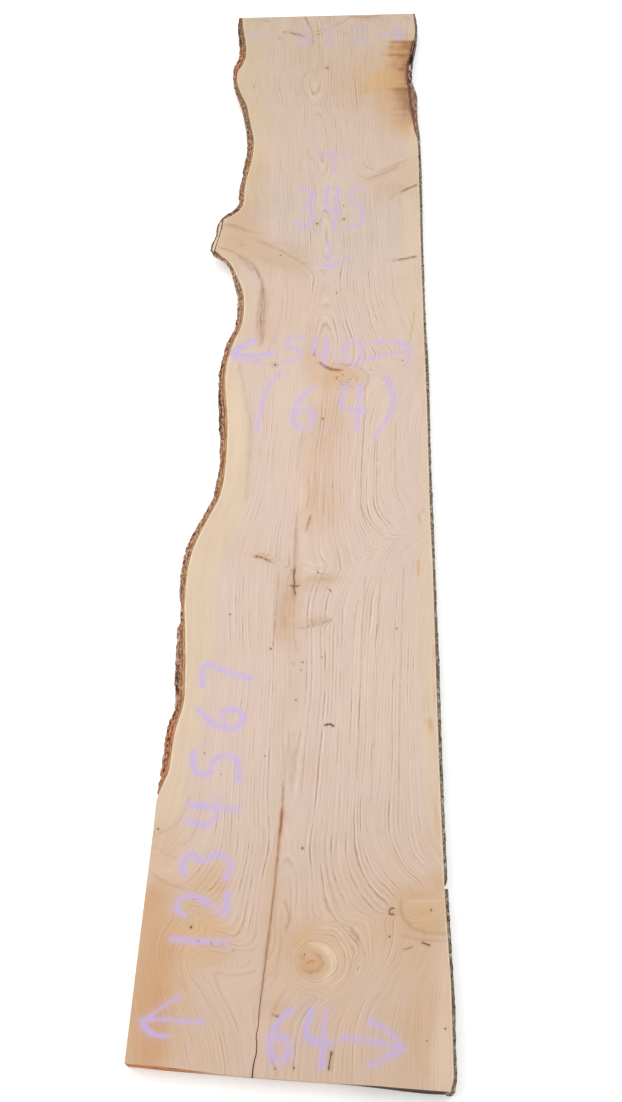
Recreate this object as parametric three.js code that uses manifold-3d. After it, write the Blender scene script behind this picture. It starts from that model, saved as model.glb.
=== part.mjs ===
// Live edge slab of douglas fir, lying on its wide face.
// Millimetres, +Z up, +Y along the slab from its wide end to its narrow end, +X to the right of someone who stands at
// the wide end and looks along +Y. The origin is the middle of the underside's bounding box.
//
// The outlines are given in inches on the upper face, from the wide end's left corner: x to the right, y along.

import * as THREE from 'three';
import { mergeVertices } from 'three/addons/utils/BufferGeometryUtils.js';
import Module from 'manifold-3d';

// ---------- driving dimensions ----------
const IN = 25.4;                 // mm in an inch
const THICKNESS = 2.5;           // in, saw-cut thickness
const SIDE_STEP = 1.0;           // in, spacing of the stations along the edges
const GAP = 0.014;               // in, between wood and bark (0.36 mm)
const WOOD_LEAN = 0.30;          // in, how far the wood's side leans inwards from the upper to the lower face, left
const WOOD_FLARE = 0.20;         // in, how far it leans outwards instead at the wide end, where the bark is gone
const WOOD_LEAN_RIGHT = 0.20;    // in, the inward lean on the right
const MID_DEPTH = 1.5;           // in, depth of the middle level below the upper face
const BARK_BULGE = 0.06;         // in, how far the bark's outer side swells at mid depth
const CHECK_WIDTH = 0.11;        // in, width of the heart check at the wide end
const CHECK_DEPTH = 0.75;        // in, its depth there
const WOOD_COLOUR = 0xdcbfa2;
const BARK_COLOUR = 0x9a6a48;
const BARK_DARK_COLOUR = 0x5d5044;

// The wide end's saw line on the upper and on the lower face, [x, y]. The cut wanders, so the end face is a little
// undercut in the middle.
const NEAR_TOP = [
  [.2, -.09], [3.3, -.21], [5.1, -.32], [7.2, -.50], [9.8, -.62], [12.7, -.69], [16.1, -.75], [19.1, -.79],
  [21.2, -.86], [22.9, -.91], [24.63, -.95]];
const NEAR_BOTTOM = [
  [-.12, .03], [2.9, -.14], [4.8, -.20], [6.9, -.27], [9.6, -.36], [12.5, -.43], [16, -.48], [19.1, -.62],
  [21.3, -.78], [23, -.87], [24.8, -.86]];

// Wood's left edge on the upper face, [y, x]. The stub of a branch, sawn flush, is the straight run from 87.55 to 92.7.
const LEFT_WOOD = [
  [-.1, .10], [10, .06], [18, .04], [20.6, -.01], [21.2, .10], [21.8, .30], [22.4, .50], [23, .72], [24, .79], [26, .80],
  [27, .86], [28, 1.05], [29, 1.27], [30, 1.36], [31, 1.30], [32, 1.20], [33, 1.12], [34, 1.03], [35, .90], [36, .78],
  [37, .68], [38, .54], [39, .38], [40, .27], [41, .22], [42, .18], [43, .18], [44, .20], [45, .27], [46, .42],
  [47, .68], [48, .98], [49, 1.30], [50, 1.68], [51, 2.05], [52, 2.38], [53, 2.58], [54, 2.69], [55, 2.72], [57, 2.71],
  [58, 2.66], [60, 2.57], [62, 2.42], [63, 2.30], [64, 2.14], [65, 1.97], [66, 1.84], [67, 1.72], [68, 1.63],
  [69, 1.59], [70, 1.63], [71, 1.71], [72, 1.86], [73, 2.05], [74, 2.28], [75, 2.60], [76, 2.79], [77, 2.86],
  [78, 2.86], [79, 2.79], [80, 2.68], [81, 2.48], [81.7, 2.28], [82.8, 1.89], [83.7, 1.45], [84.8, 1.05], [85.7, .56],
  [86.1, .20], [86.7, -.46], [87.55, -1.43], [88.2, -1.35], [89.2, -1.23], [90.45, -1.065], [90.6, -1.05], [91.4, -.98],
  [92.1, -.96], [92.7, -.95], [93.0, -.82], [93.46, -.12], [93.92, .47], [94.48, .91], [95.2, 1.27], [96.1, 1.40],
  [97, 1.35], [98, 1.32], [99, 1.30], [100, 1.33], [101, 1.45], [102, 1.58], [103, 1.68], [104, 1.80], [105, 1.80],
  [107, 1.75], [108, 1.66], [109, 1.46], [110, 1.21], [111, 1.00], [112, .79], [113, .60], [114, .40], [115, .12],
  [116, -.27], [117, -.68], [118, -1.02], [119, -1.32], [120, -1.50], [121, -1.59], [122, -1.50], [123, -1.10],
  [124, -.82], [125, -.72], [126, -.72], [127, -.82], [128, -.98], [129, -1.12], [130, -1.33], [131, -1.50],
  [132, -1.68], [133, -1.82], [134, -1.92]];

// Outer edge of the left bark on the upper face, [y, x]; under the sawn stub it is the bark's edge below the cut.
const LEFT_BARK = [
  [21.3, .02], [22, .04], [23, .07], [26, .07], [27, .10], [28, .29], [29, .60], [30, .57], [31, .43], [32, .29],
  [33, .21], [34, .14], [35, .07], [36, 0], [36.6, -.12], [37, -.20], [37.5, -.02], [38, .10], [39, 0], [40, -.10],
  [41, -.36], [42, -.43], [43, -.44], [44, -.43], [45, -.42], [46, -.29], [47, -.07], [48, .29], [49, .64], [50, 1.05],
  [51, 1.43], [52, 1.80], [53, 1.88], [54, 1.95], [55, 2.05], [56, 2.12], [57, 2.07], [58, 2.00], [59, 1.93],
  [60, 1.86], [61, 1.62], [62, 1.50], [63, 1.42], [64, 1.29], [65, 1.15], [66, 1.07], [67, 1.02], [68, .93], [69, .90],
  [70, .98], [71, 1.07], [72, 1.14], [73, 1.30], [74, 1.57], [75, 1.93], [76, 2.07], [77, 2.14], [78, 2.09],
  [79, 2.07], [80, 2.03], [81, 1.85], [82, 1.50], [83, 1.20], [84, .86], [84.8, .56], [85.46, .12], [86.03, -.40],
  [86.6, -1.30], [87.2, -1.66], [87.55, -1.75], [88.2, -2.02], [89.2, -1.98], [90.0, -1.80], [90.7, -1.52], [91.4, -1.58],
  [92.1, -1.62], [92.7, -1.45], [93.05, -1.15], [93.5, -.85], [93.9, -.55], [94.47, .14], [95.2, .57], [95.9, .80],
  [96.4, .80], [97, .68], [98, .66], [99, .70], [100, .72], [101, .84], [102, .77], [103, .93], [104, .92], [105, 1.00],
  [106, 1.02], [107, .95], [108, .80], [109, .71], [110, .62], [111, .43], [112, .14], [113, -.07], [114, -.29],
  [115, -.47], [116, -.92], [117, -1.33], [118, -1.63], [119, -1.86], [120, -2.00], [121, -2.13], [122, -2.20],
  [123, -2.12], [124, -1.80], [125, -1.63], [126, -1.63], [127, -1.66], [128, -1.85], [129, -2.00], [130, -2.08],
  [131, -2.28], [132, -2.42], [133, -2.42], [134, -2.32]];

// Outer edge of the left bark on the lower face, [y, x]. Burls and the branch are weaker there.
const LEFT_BOTTOM = [
  [21, .25], [26, .31], [27, .39], [28, .55], [29, .74], [30, .75], [31, .65], [32, .53], [33, .44], [35, .28],
  [37, .18], [38, .25], [39, .20], [40, .08], [41, -.08], [42, -.18], [43, -.21], [44, -.20], [45, -.15], [46, -.02],
  [47, .21], [48, .52], [49, .88], [50, 1.26], [51, 1.63], [52, 1.95], [53, 2.09], [54, 2.18], [56, 2.30], [58, 2.22],
  [60, 2.04], [62, 1.74], [64, 1.51], [66, 1.30], [68, 1.18], [69, 1.16], [70, 1.21], [71, 1.29], [72, 1.40],
  [73, 1.57], [74, 1.82], [75, 2.09], [76, 2.26], [77, 2.32], [79, 2.28], [80, 2.20], [81, 2.03], [82, 1.85],
  [84, 1.81], [86, 1.79], [88, 1.70], [90, 1.60], [92, 1.50], [94, 1.39], [96, 1.16], [97, .99], [98, .92], [99, .92],
  [100, .97], [102, 1.05], [104, 1.16], [105, 1.20], [106, 1.20], [107, 1.14], [108, 1.04], [109, .93], [110, .80],
  [111, .62], [112, .40], [113, .20], [114, .01], [115, -.21], [116, -.45], [117, -.67], [118, -.89], [119, -1.21],
  [120, -1.57], [121, -1.82], [122, -1.90], [123, -1.81], [124, -1.61], [125, -1.46], [126, -1.44], [127, -1.49],
  [128, -1.62], [129, -1.76], [130, -1.89], [131, -2.04], [132, -2.14], [134, -2.13]];

// Wood's right edge on the upper face, [y, x], and the bark's outer edge beside it.
const RIGHT_WOOD = [
  [-.96, 24.63], [0, 24.88], [2, 24.86], [5, 24.82], [7, 24.78], [10, 24.60], [13, 24.44], [15, 24.37], [20, 24.22],
  [25, 24.08], [30, 23.98], [35, 23.88], [40, 23.79], [45, 23.71], [50, 23.52], [55, 23.43], [60, 23.35], [65, 23.28],
  [70, 23.14], [75, 23.00], [80, 22.92], [85, 22.79], [90, 22.70], [95, 22.62], [100, 22.53], [104, 22.47],
  [106.7, 22.44], [107.8, 22.34], [109.3, 22.10], [111.2, 21.92], [113.2, 21.67], [114.7, 21.55], [116.7, 21.42],
  [118.3, 21.23], [120.3, 21.03], [122, 21.03], [123.8, 21.12], [124.9, 21.38], [126.6, 21.59], [128.1, 21.80],
  [129.6, 22.05], [131, 22.10], [132, 22.03], [134.74, 21.80]];
const RIGHT_BARK = [
  [-.96, 24.93], [0, 25.14], [2, 25.09], [5, 25.08], [7, 25.00], [10, 24.86], [13, 24.72], [15, 24.62], [20, 24.50],
  [25, 24.36], [30, 24.29], [35, 24.21], [40, 24.07], [45, 23.95], [50, 23.84], [55, 23.71], [60, 23.60], [65, 23.58],
  [70, 23.50], [75, 23.29], [80, 23.15], [85, 23.07], [90, 22.95], [95, 22.93], [100, 22.88], [104, 22.78],
  [106.7, 22.70], [108.6, 22.64], [110.5, 22.46], [112.4, 22.34], [114.3, 22.35], [116.3, 22.31], [117.3, 22.19],
  [118.3, 21.91], [119.5, 21.66], [121.3, 21.64], [123.4, 21.66], [124.5, 21.79], [126.6, 21.91], [128.1, 22.11],
  [129.6, 22.33], [131, 22.37], [132, 22.36], [133, 22.27], [134.74, 22.05]];
const RIGHT_RUNS = {               // the bark strips on the right edge, from y to y
  bark_right_lower: [-.95, 14.0],
  bark_right_middle: [14.8, 104.3],
  bark_right_upper: [104.75, 134.74],
};
const LEFT_RUNS = {                // the bark strips on the left edge: they part below the notch of the sawn stub
  bark_left_lower: [21.3, 90.45],
  bark_left_upper: [90.6, 134.0],
};

// Under the sawn face of the stub: [y on the upper face, depth, outward reach, shift of y] of its lower edge.
const STUB_FACE = [
  [87.55, .30, .36, .35], [88.2, .70, .56, .45], [89.2, .75, .60, .35], [90.45, .60, .46, .06], [90.6, .47, .36, .04],
  [91.4, .62, .46, 0], [92.1, .66, .52, 0], [92.7, .40, .38, .05]];

// The heart check in the wide end: [x, y] along it.
const CHECK_LINE = [
  [9.98, -1.2], [10.0, 0], [10.12, 2.2], [10.16, 4.2], [10.13, 6], [10.32, 8], [10.5, 11.5], [10.62, 15], [10.75, 18.5],
  [10.8, 20.3], [10.76, 22.4]];

// ---------- helpers ----------
const lerpTable = (table, y) => {
  if (y <= table[0][0]) return table[0][1];
  for (let i = 1; i < table.length; i++) {
    if (y <= table[i][0]) {
      const [y0, x0] = table[i - 1], [y1, x1] = table[i];
      return x0 + (x1 - x0) * (y - y0) / (y1 - y0);
    }
  }
  return table[table.length - 1][1];
};

// Stations from y0 to y1: the table's own rows and even steps between them.
const stations = (table, y0, y1, step) => {
  const ys = new Set([y0, y1]);
  for (const [y] of table) if (y > y0 && y < y1) ys.add(y);
  const sorted = [...ys].sort((a, b) => a - b);
  const out = [];
  for (let i = 0; i < sorted.length; i++) {
    if (i && sorted[i] - out[out.length - 1] < 0.12 && sorted[i] !== y1) continue;
    if (i) {
      const a = out[out.length - 1], n = Math.ceil((sorted[i] - a) / (step * 1.6));
      for (let k = 1; k < n; k++) out.push(a + (sorted[i] - a) * k / n);
    }
    out.push(sorted[i]);
  }
  return out;
};

// A closed body through rings of the same length. Rings may share points; faces with no area are left out.
const closedBody = (rings, capStart, capEnd) => {
  const pos = [], key = new Map(), idx = rings.map((ring) => ring.map((p) => {
    const k = p.map((v) => v.toFixed(5)).join(',');
    if (!key.has(k)) { key.set(k, pos.length / 3); pos.push(p[0] * IN, p[1] * IN, p[2] * IN); }
    return key.get(k);
  }));
  const tri = [];
  const add = (a, b, c) => { if (a !== b && b !== c && a !== c) tri.push(a, b, c); };
  const n = rings[0].length;
  for (let r = 0; r + 1 < rings.length; r++) {
    for (let i = 0; i < n; i++) {
      const j = (i + 1) % n, a = idx[r][i], b = idx[r][j], c = idx[r + 1][j], d = idx[r + 1][i];
      add(a, b, c);
      add(a, c, d);
    }
  }
  for (const [a, b, c] of capStart) add(idx[0][a], idx[0][b], idx[0][c]);
  const last = rings.length - 1;
  for (const [a, b, c] of capEnd) add(idx[last][a], idx[last][b], idx[last][c]);
  const g = new THREE.BufferGeometry();
  g.setAttribute('position', new THREE.Float32BufferAttribute(pos, 3));
  g.setIndex(tri);
  return g;
};

const flip = (faces) => faces.map(([a, b, c]) => [a, c, b]);

// ---------- the wood's outline, level by level ----------
// A side point has four levels: arris, lower edge of a sawn facet, middle, lower face.
const stubAt = (y) => STUB_FACE.find(([s]) => Math.abs(s - y) < 1e-6);

const leftSide = (y) => {
  const x = lerpTable(LEFT_WOOD, y);
  const bareT = Math.min(1, Math.max(0, (y - 8) / 12.8)), bare = bareT * bareT * (3 - 2 * bareT);
  const bareLean = -WOOD_FLARE + (WOOD_FLARE + WOOD_LEAN - .08) * bare;
  const covered = Math.min(1, Math.max(0, (y - 20.8) / 2));
  const xb = (1 - covered) * (x + bareLean) + covered * Math.max(lerpTable(LEFT_BOTTOM, y) + .42, x + .12);
  const near = y > 84 && y < 95.5;
  const s = stubAt(y);
  const p0 = [x, y, 0];
  const p1 = s ? [x - s[2], y + s[3], -s[1]] : p0;
  // The underside of the stub draws in quickly towards the trunk.
  const draw = near ? Math.sin(Math.PI * Math.min(1, Math.max(0, (y - 84) / 11.5))) : 0;
  const t = MID_DEPTH / THICKNESS;
  const xm = x + (xb - x) * (t + (1 - t) * draw * .72);
  const ym = y + (near ? (90.2 - y) * .18 * draw : 0);
  const yb = y + (near ? (90.2 - y) * .30 * draw : 0);
  return [p0, p1, [xm, ym, -MID_DEPTH], [xb, yb, -THICKNESS]];
};

const rightSide = (y) => {
  const x = lerpTable(RIGHT_WOOD, y);
  const t = MID_DEPTH / THICKNESS;
  return [[x, y, 0], [x, y, 0], [x - WOOD_LEAN_RIGHT * t, y, -MID_DEPTH], [x - WOOD_LEAN_RIGHT, y, -THICKNESS]];
};

const leftYs = stations(LEFT_WOOD, -.1, 134.0, SIDE_STEP);
const rightYs = stations(RIGHT_WOOD, -.96, 134.74, 2.0 * SIDE_STEP);

// Sawn ends: straight lines with a few points on each.
const endPoints = (a, b, n) => {
  const out = [];
  for (let k = 1; k < n; k++) out.push([a[0] + (b[0] - a[0]) * k / n, a[1] + (b[1] - a[1]) * k / n]);
  return out;
};
// The wide end's saw line at a level.
const nearLine = (x, level) => {
  const t = level < 2 ? 0 : level === 2 ? MID_DEPTH / THICKNESS : 1;
  return (1 - t) * lerpTable(NEAR_TOP, x) + t * lerpTable(NEAR_BOTTOM, x);
};

const woodRing = (level) => {
  const ring = [];
  const leftEnd = nearLine(.1, level), rightEnd = nearLine(24.7, level);
  const left = leftYs.map((y, i) => leftSide(i ? y : leftEnd)[level]);
  const right = rightYs.map((y, i) => rightSide(i ? y : rightEnd)[level]);
  for (const [x] of endPoints(left[0], right[0], 14)) ring.push([x, nearLine(x, level), left[0][2]]);
  for (const p of right) ring.push(p);
  for (const [x, y] of endPoints(right[right.length - 1], left[left.length - 1], 8)) ring.push([x, y, left[0][2]]);
  for (const p of left.slice().reverse()) ring.push(p);
  return ring;
};

const rings = [0, 1, 2, 3].map(woodRing);
const cap = (ring) => THREE.ShapeUtils.triangulateShape(ring.map(([x, y]) => new THREE.Vector2(x, y)), []);
// Rings run anticlockwise seen from above and go downwards, so the side faces are flipped to point out.
const woodGeometry = closedBody(rings.slice().reverse(), flip(cap(rings[3])), cap(rings[0]));

// ---------- the heart check ----------
const checkGeometry = () => {
  const sections = CHECK_LINE.map(([x, y], i) => {
    const s = Math.max(0, 1 - Math.max(0, y) / 22.4);
    const w = CHECK_WIDTH * (.16 + .84 * Math.pow(s, .8)) / 2, d = CHECK_DEPTH * (.14 + .86 * s);
    const top = .25;
    return [[x - w * (1 + top / d), y, top], [x + w * (1 + top / d), y, top], [x, y, -d]];
  });
  return closedBody(sections, [[0, 2, 1]], [[0, 1, 2]]);
};

const wasm = await Module();
wasm.setup();
const toSolid = (geometry) => {
  const g = mergeVertices(geometry.clone(), 1e-5);
  return new wasm.Manifold(new wasm.Mesh({
    numProp: 3,
    vertProperties: new Float32Array(g.attributes.position.array),
    triVerts: new Uint32Array(g.index.array),
  }));
};
const toGeometry = (solid) => {
  const m = solid.getMesh();
  const g = new THREE.BufferGeometry();
  g.setAttribute('position', new THREE.BufferAttribute(new Float32Array(m.vertProperties), 3));
  g.setIndex(new THREE.BufferAttribute(new Uint32Array(m.triVerts), 1));
  return g;
};

// ---------- bark strips ----------
// A strip is a run of cross-sections. Each has the wood's side, set off by the gap, and the rough outer side.
const barkStrip = (ys, woodSide, outerTop, outerBottom, sign) => {
  const sides = ys.map(woodSide);
  const normal = (i, level) => {
    const a = sides[Math.max(0, i - 1)][level], b = sides[Math.min(ys.length - 1, i + 1)][level];
    const dx = b[0] - a[0], dy = b[1] - a[1], l = Math.hypot(dx, dy);
    return [sign * dy / l, -sign * dx / l];
  };
  const sections = ys.map((y, i) => {
    const inner = [1, 2, 3].map((level) => {
      const [nx, ny] = normal(i, level), p = sides[i][level];
      const lift = stubAt(y) && level === 1 ? 2.2 : 1;
      return [p[0] + nx * GAP * lift, p[1] + ny * GAP * lift, p[2] - (lift > 1 ? GAP : 0)];
    });
    // Keep the two faces of the strip in order where the edge turns sharply.
    const least = .16;
    const zTop = inner[0][2];
    let xt = outerTop(y), xb = outerBottom(y);
    const topY = stubAt(y) ? inner[0][1] : y;
    xt = sign > 0 ? Math.max(xt, inner[0][0] + least) : Math.min(xt, inner[0][0] - least);
    xb = sign > 0 ? Math.max(xb, inner[2][0] + least) : Math.min(xb, inner[2][0] - least);
    const t = MID_DEPTH / THICKNESS;
    let xm = xt + (xb - xt) * t + sign * BARK_BULGE;
    const xmLeast = inner[1][0] + sign * (least + .1);
    xm = sign > 0 ? Math.max(xm, xmLeast) : Math.min(xm, xmLeast);
    if (y > 84 && y < 95.5 && sign < 0) xm = Math.min(inner[1][0] - .38, xt + (xb - xt) * .8);
    const section = [
      inner[0], [xt, topY, zTop], [xm, inner[1][1], -MID_DEPTH], [xb, inner[2][1], -THICKNESS], inner[2], inner[1]];
    return sign > 0 ? section : section.reverse();
  });
  // The order of the points gives the strip's inner side the same folds as the wood's.
  const face = sign > 0 ? [[0, 1, 2], [0, 2, 5], [5, 2, 3], [5, 3, 4]] : [[3, 4, 5], [0, 3, 5], [0, 2, 3], [0, 1, 2]];
  return closedBody(sections, flip(face), face);
};

const flipWinding = (g) => {
  const a = g.index.array;
  for (let i = 0; i < a.length; i += 3) { const t = a[i + 1]; a[i + 1] = a[i + 2]; a[i + 2] = t; }
  return g;
};
const volumeOf = (g) => {
  const p = g.attributes.position.array, t = g.index.array;
  let v = 0;
  for (let i = 0; i < t.length; i += 3) {
    const [a, b, c] = [t[i] * 3, t[i + 1] * 3, t[i + 2] * 3];
    v += p[a] * (p[b + 1] * p[c + 2] - p[b + 2] * p[c + 1]) + p[a + 1] * (p[b + 2] * p[c] - p[b] * p[c + 2])
      + p[a + 2] * (p[b] * p[c + 1] - p[b + 1] * p[c]);
  }
  return v / 6;
};
const outward = (g) => (volumeOf(g) < 0 ? flipWinding(g) : g);

const slabSolid = toSolid(outward(woodGeometry)).subtract(toSolid(outward(checkGeometry())));
const parts = { slab: toGeometry(slabSolid) };

const clip = (list, a, b) => [a, ...list.filter((y) => y > a + .1 && y < b - .1), b];
for (const [name, [a, b]] of Object.entries(LEFT_RUNS)) {
  parts[name] = outward(barkStrip(clip(leftYs, a, b), leftSide,
    (y) => lerpTable(LEFT_BARK, y), (y) => lerpTable(LEFT_BOTTOM, y), -1));
}
for (const [name, [a, b]] of Object.entries(RIGHT_RUNS)) {
  parts[name] = outward(barkStrip(clip(rightYs, a, b), rightSide,
    (y) => lerpTable(RIGHT_BARK, y), (y) => lerpTable(RIGHT_BARK, y) - .14, 1));
}

// ---------- the scene graph ----------
const materials = {
  wood: new THREE.MeshStandardMaterial({ color: WOOD_COLOUR, roughness: .72, metalness: 0 }),
  bark: new THREE.MeshStandardMaterial({ color: BARK_COLOUR, roughness: .92, metalness: 0 }),
  barkDark: new THREE.MeshStandardMaterial({ color: BARK_DARK_COLOUR, roughness: .95, metalness: 0 }),
};
const materialOf = (name) => (name === 'slab' ? materials.wood : name.startsWith('bark_left') ? materials.bark : materials.barkDark);

const object = new THREE.Group();
const box = new THREE.Box3();
for (const [name, geometry] of Object.entries(parts)) {
  geometry.computeVertexNormals();
  geometry.computeBoundingBox();
  box.union(geometry.boundingBox);
  const mesh = new THREE.Mesh(geometry, materialOf(name));
  mesh.name = name;
  object.add(mesh);
}
const centre = box.getCenter(new THREE.Vector3());
for (const mesh of object.children) mesh.position.set(-centre.x, -centre.y, THICKNESS * IN);

export default object;
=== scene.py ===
import math
import bpy
import numpy as np
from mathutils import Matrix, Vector
from mathutils.geometry import delaunay_2d_cdt

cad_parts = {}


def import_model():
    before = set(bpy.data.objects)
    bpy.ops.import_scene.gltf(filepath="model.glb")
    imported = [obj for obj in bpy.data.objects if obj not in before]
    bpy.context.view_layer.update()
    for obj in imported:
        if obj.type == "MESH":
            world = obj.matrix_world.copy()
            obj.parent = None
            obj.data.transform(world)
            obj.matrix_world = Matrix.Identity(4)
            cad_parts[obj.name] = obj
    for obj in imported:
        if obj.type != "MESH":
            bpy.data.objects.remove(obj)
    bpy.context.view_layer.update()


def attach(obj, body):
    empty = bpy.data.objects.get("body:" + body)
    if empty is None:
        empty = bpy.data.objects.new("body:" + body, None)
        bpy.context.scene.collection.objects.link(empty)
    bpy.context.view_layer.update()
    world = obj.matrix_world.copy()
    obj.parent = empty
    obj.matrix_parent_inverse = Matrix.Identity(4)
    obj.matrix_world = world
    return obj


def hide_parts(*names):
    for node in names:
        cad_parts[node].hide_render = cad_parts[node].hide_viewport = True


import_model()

# Live edge slab of douglas fir. Everything below is laid out in inches on the slab's upper face: x to the right from the
# wide end's left corner, y along the slab, z up from the upper face. IN, X0, Y0 and Z0 take that to the frame's metres.
IN = 0.0254
X0, Y0, Z0 = -0.2885440158843994, -1.6991030826568604, 0.0635
THICK = 2.5
MID = 1.5
FLARE = .20
LEAN = .30
LEAN_RIGHT = .20
GAP = .014

# ------------------------------------------------------------------------------------------------ outlines
NEAR_TOP = [
  [.2, -.09], [3.3, -.21], [5.1, -.32], [7.2, -.50], [9.8, -.62], [12.7, -.69], [16.1, -.75], [19.1, -.79],
  [21.2, -.86], [22.9, -.91], [24.63, -.95]]
NEAR_BOTTOM = [
  [-.12, .03], [2.9, -.14], [4.8, -.20], [6.9, -.27], [9.6, -.36], [12.5, -.43], [16, -.48], [19.1, -.62],
  [21.3, -.78], [23, -.87], [24.8, -.86]]
LEFT_WOOD = [
  [-.1, .10], [10, .06], [18, .04], [20.6, -.01], [21.2, .10], [21.8, .30], [22.4, .50], [23, .72], [24, .79], [26, .80],
  [27, .86], [28, 1.05], [29, 1.27], [30, 1.36], [31, 1.30], [32, 1.20], [33, 1.12], [34, 1.03], [35, .90], [36, .78],
  [37, .68], [38, .54], [39, .38], [40, .27], [41, .22], [42, .18], [43, .18], [44, .20], [45, .27], [46, .42],
  [47, .68], [48, .98], [49, 1.30], [50, 1.68], [51, 2.05], [52, 2.38], [53, 2.58], [54, 2.69], [55, 2.72], [57, 2.71],
  [58, 2.66], [60, 2.57], [62, 2.42], [63, 2.30], [64, 2.14], [65, 1.97], [66, 1.84], [67, 1.72], [68, 1.63],
  [69, 1.59], [70, 1.63], [71, 1.71], [72, 1.86], [73, 2.05], [74, 2.28], [75, 2.60], [76, 2.79], [77, 2.86],
  [78, 2.86], [79, 2.79], [80, 2.68], [81, 2.48], [81.7, 2.28], [82.8, 1.89], [83.7, 1.45], [84.8, 1.05], [85.7, .56],
  [86.1, .20], [86.7, -.46], [87.55, -1.43], [88.2, -1.35], [89.2, -1.23], [90.45, -1.065], [90.6, -1.05], [91.4, -.98],
  [92.1, -.96], [92.7, -.95], [93.0, -.82], [93.46, -.12], [93.92, .47], [94.48, .91], [95.2, 1.27], [96.1, 1.40],
  [97, 1.35], [98, 1.32], [99, 1.30], [100, 1.33], [101, 1.45], [102, 1.58], [103, 1.68], [104, 1.80], [105, 1.80],
  [107, 1.75], [108, 1.66], [109, 1.46], [110, 1.21], [111, 1.00], [112, .79], [113, .60], [114, .40], [115, .12],
  [116, -.27], [117, -.68], [118, -1.02], [119, -1.32], [120, -1.50], [121, -1.59], [122, -1.50], [123, -1.10],
  [124, -.82], [125, -.72], [126, -.72], [127, -.82], [128, -.98], [129, -1.12], [130, -1.33], [131, -1.50],
  [132, -1.68], [133, -1.82], [134, -1.92]]
LEFT_BARK = [
  [21.3, .02], [22, .04], [23, .07], [26, .07], [27, .10], [28, .29], [29, .60], [30, .57], [31, .43], [32, .29],
  [33, .21], [34, .14], [35, .07], [36, 0], [36.6, -.12], [37, -.20], [37.5, -.02], [38, .10], [39, 0], [40, -.10],
  [41, -.36], [42, -.43], [43, -.44], [44, -.43], [45, -.42], [46, -.29], [47, -.07], [48, .29], [49, .64], [50, 1.05],
  [51, 1.43], [52, 1.80], [53, 1.88], [54, 1.95], [55, 2.05], [56, 2.12], [57, 2.07], [58, 2.00], [59, 1.93],
  [60, 1.86], [61, 1.62], [62, 1.50], [63, 1.42], [64, 1.29], [65, 1.15], [66, 1.07], [67, 1.02], [68, .93], [69, .90],
  [70, .98], [71, 1.07], [72, 1.14], [73, 1.30], [74, 1.57], [75, 1.93], [76, 2.07], [77, 2.14], [78, 2.09],
  [79, 2.07], [80, 2.03], [81, 1.85], [82, 1.50], [83, 1.20], [84, .86], [84.8, .56], [85.46, .12], [86.03, -.40],
  [86.6, -1.30], [87.2, -1.66], [87.55, -1.75], [88.2, -2.02], [89.2, -1.98], [90.0, -1.80], [90.7, -1.52], [91.4, -1.58],
  [92.1, -1.62], [92.7, -1.45], [93.05, -1.15], [93.5, -.85], [93.9, -.55], [94.47, .14], [95.2, .57], [95.9, .80],
  [96.4, .80], [97, .68], [98, .66], [99, .70], [100, .72], [101, .84], [102, .77], [103, .93], [104, .92], [105, 1.00],
  [106, 1.02], [107, .95], [108, .80], [109, .71], [110, .62], [111, .43], [112, .14], [113, -.07], [114, -.29],
  [115, -.47], [116, -.92], [117, -1.33], [118, -1.63], [119, -1.86], [120, -2.00], [121, -2.13], [122, -2.20],
  [123, -2.12], [124, -1.80], [125, -1.63], [126, -1.63], [127, -1.66], [128, -1.85], [129, -2.00], [130, -2.08],
  [131, -2.28], [132, -2.42], [133, -2.42], [134, -2.32]]
LEFT_BOTTOM = [
  [21, .25], [26, .31], [27, .39], [28, .55], [29, .74], [30, .75], [31, .65], [32, .53], [33, .44], [35, .28],
  [37, .18], [38, .25], [39, .20], [40, .08], [41, -.08], [42, -.18], [43, -.21], [44, -.20], [45, -.15], [46, -.02],
  [47, .21], [48, .52], [49, .88], [50, 1.26], [51, 1.63], [52, 1.95], [53, 2.09], [54, 2.18], [56, 2.30], [58, 2.22],
  [60, 2.04], [62, 1.74], [64, 1.51], [66, 1.30], [68, 1.18], [69, 1.16], [70, 1.21], [71, 1.29], [72, 1.40],
  [73, 1.57], [74, 1.82], [75, 2.09], [76, 2.26], [77, 2.32], [79, 2.28], [80, 2.20], [81, 2.03], [82, 1.85],
  [84, 1.81], [86, 1.79], [88, 1.70], [90, 1.60], [92, 1.50], [94, 1.39], [96, 1.16], [97, .99], [98, .92], [99, .92],
  [100, .97], [102, 1.05], [104, 1.16], [105, 1.20], [106, 1.20], [107, 1.14], [108, 1.04], [109, .93], [110, .80],
  [111, .62], [112, .40], [113, .20], [114, .01], [115, -.21], [116, -.45], [117, -.67], [118, -.89], [119, -1.21],
  [120, -1.57], [121, -1.82], [122, -1.90], [123, -1.81], [124, -1.61], [125, -1.46], [126, -1.44], [127, -1.49],
  [128, -1.62], [129, -1.76], [130, -1.89], [131, -2.04], [132, -2.14], [134, -2.13]]
RIGHT_WOOD = [
  [-.96, 24.63], [0, 24.88], [2, 24.86], [5, 24.82], [7, 24.78], [10, 24.60], [13, 24.44], [15, 24.37], [20, 24.22],
  [25, 24.08], [30, 23.98], [35, 23.88], [40, 23.79], [45, 23.71], [50, 23.52], [55, 23.43], [60, 23.35], [65, 23.28],
  [70, 23.14], [75, 23.00], [80, 22.92], [85, 22.79], [90, 22.70], [95, 22.62], [100, 22.53], [104, 22.47],
  [106.7, 22.44], [107.8, 22.34], [109.3, 22.10], [111.2, 21.92], [113.2, 21.67], [114.7, 21.55], [116.7, 21.42],
  [118.3, 21.23], [120.3, 21.03], [122, 21.03], [123.8, 21.12], [124.9, 21.38], [126.6, 21.59], [128.1, 21.80],
  [129.6, 22.05], [131, 22.10], [132, 22.03], [134.74, 21.80]]
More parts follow.
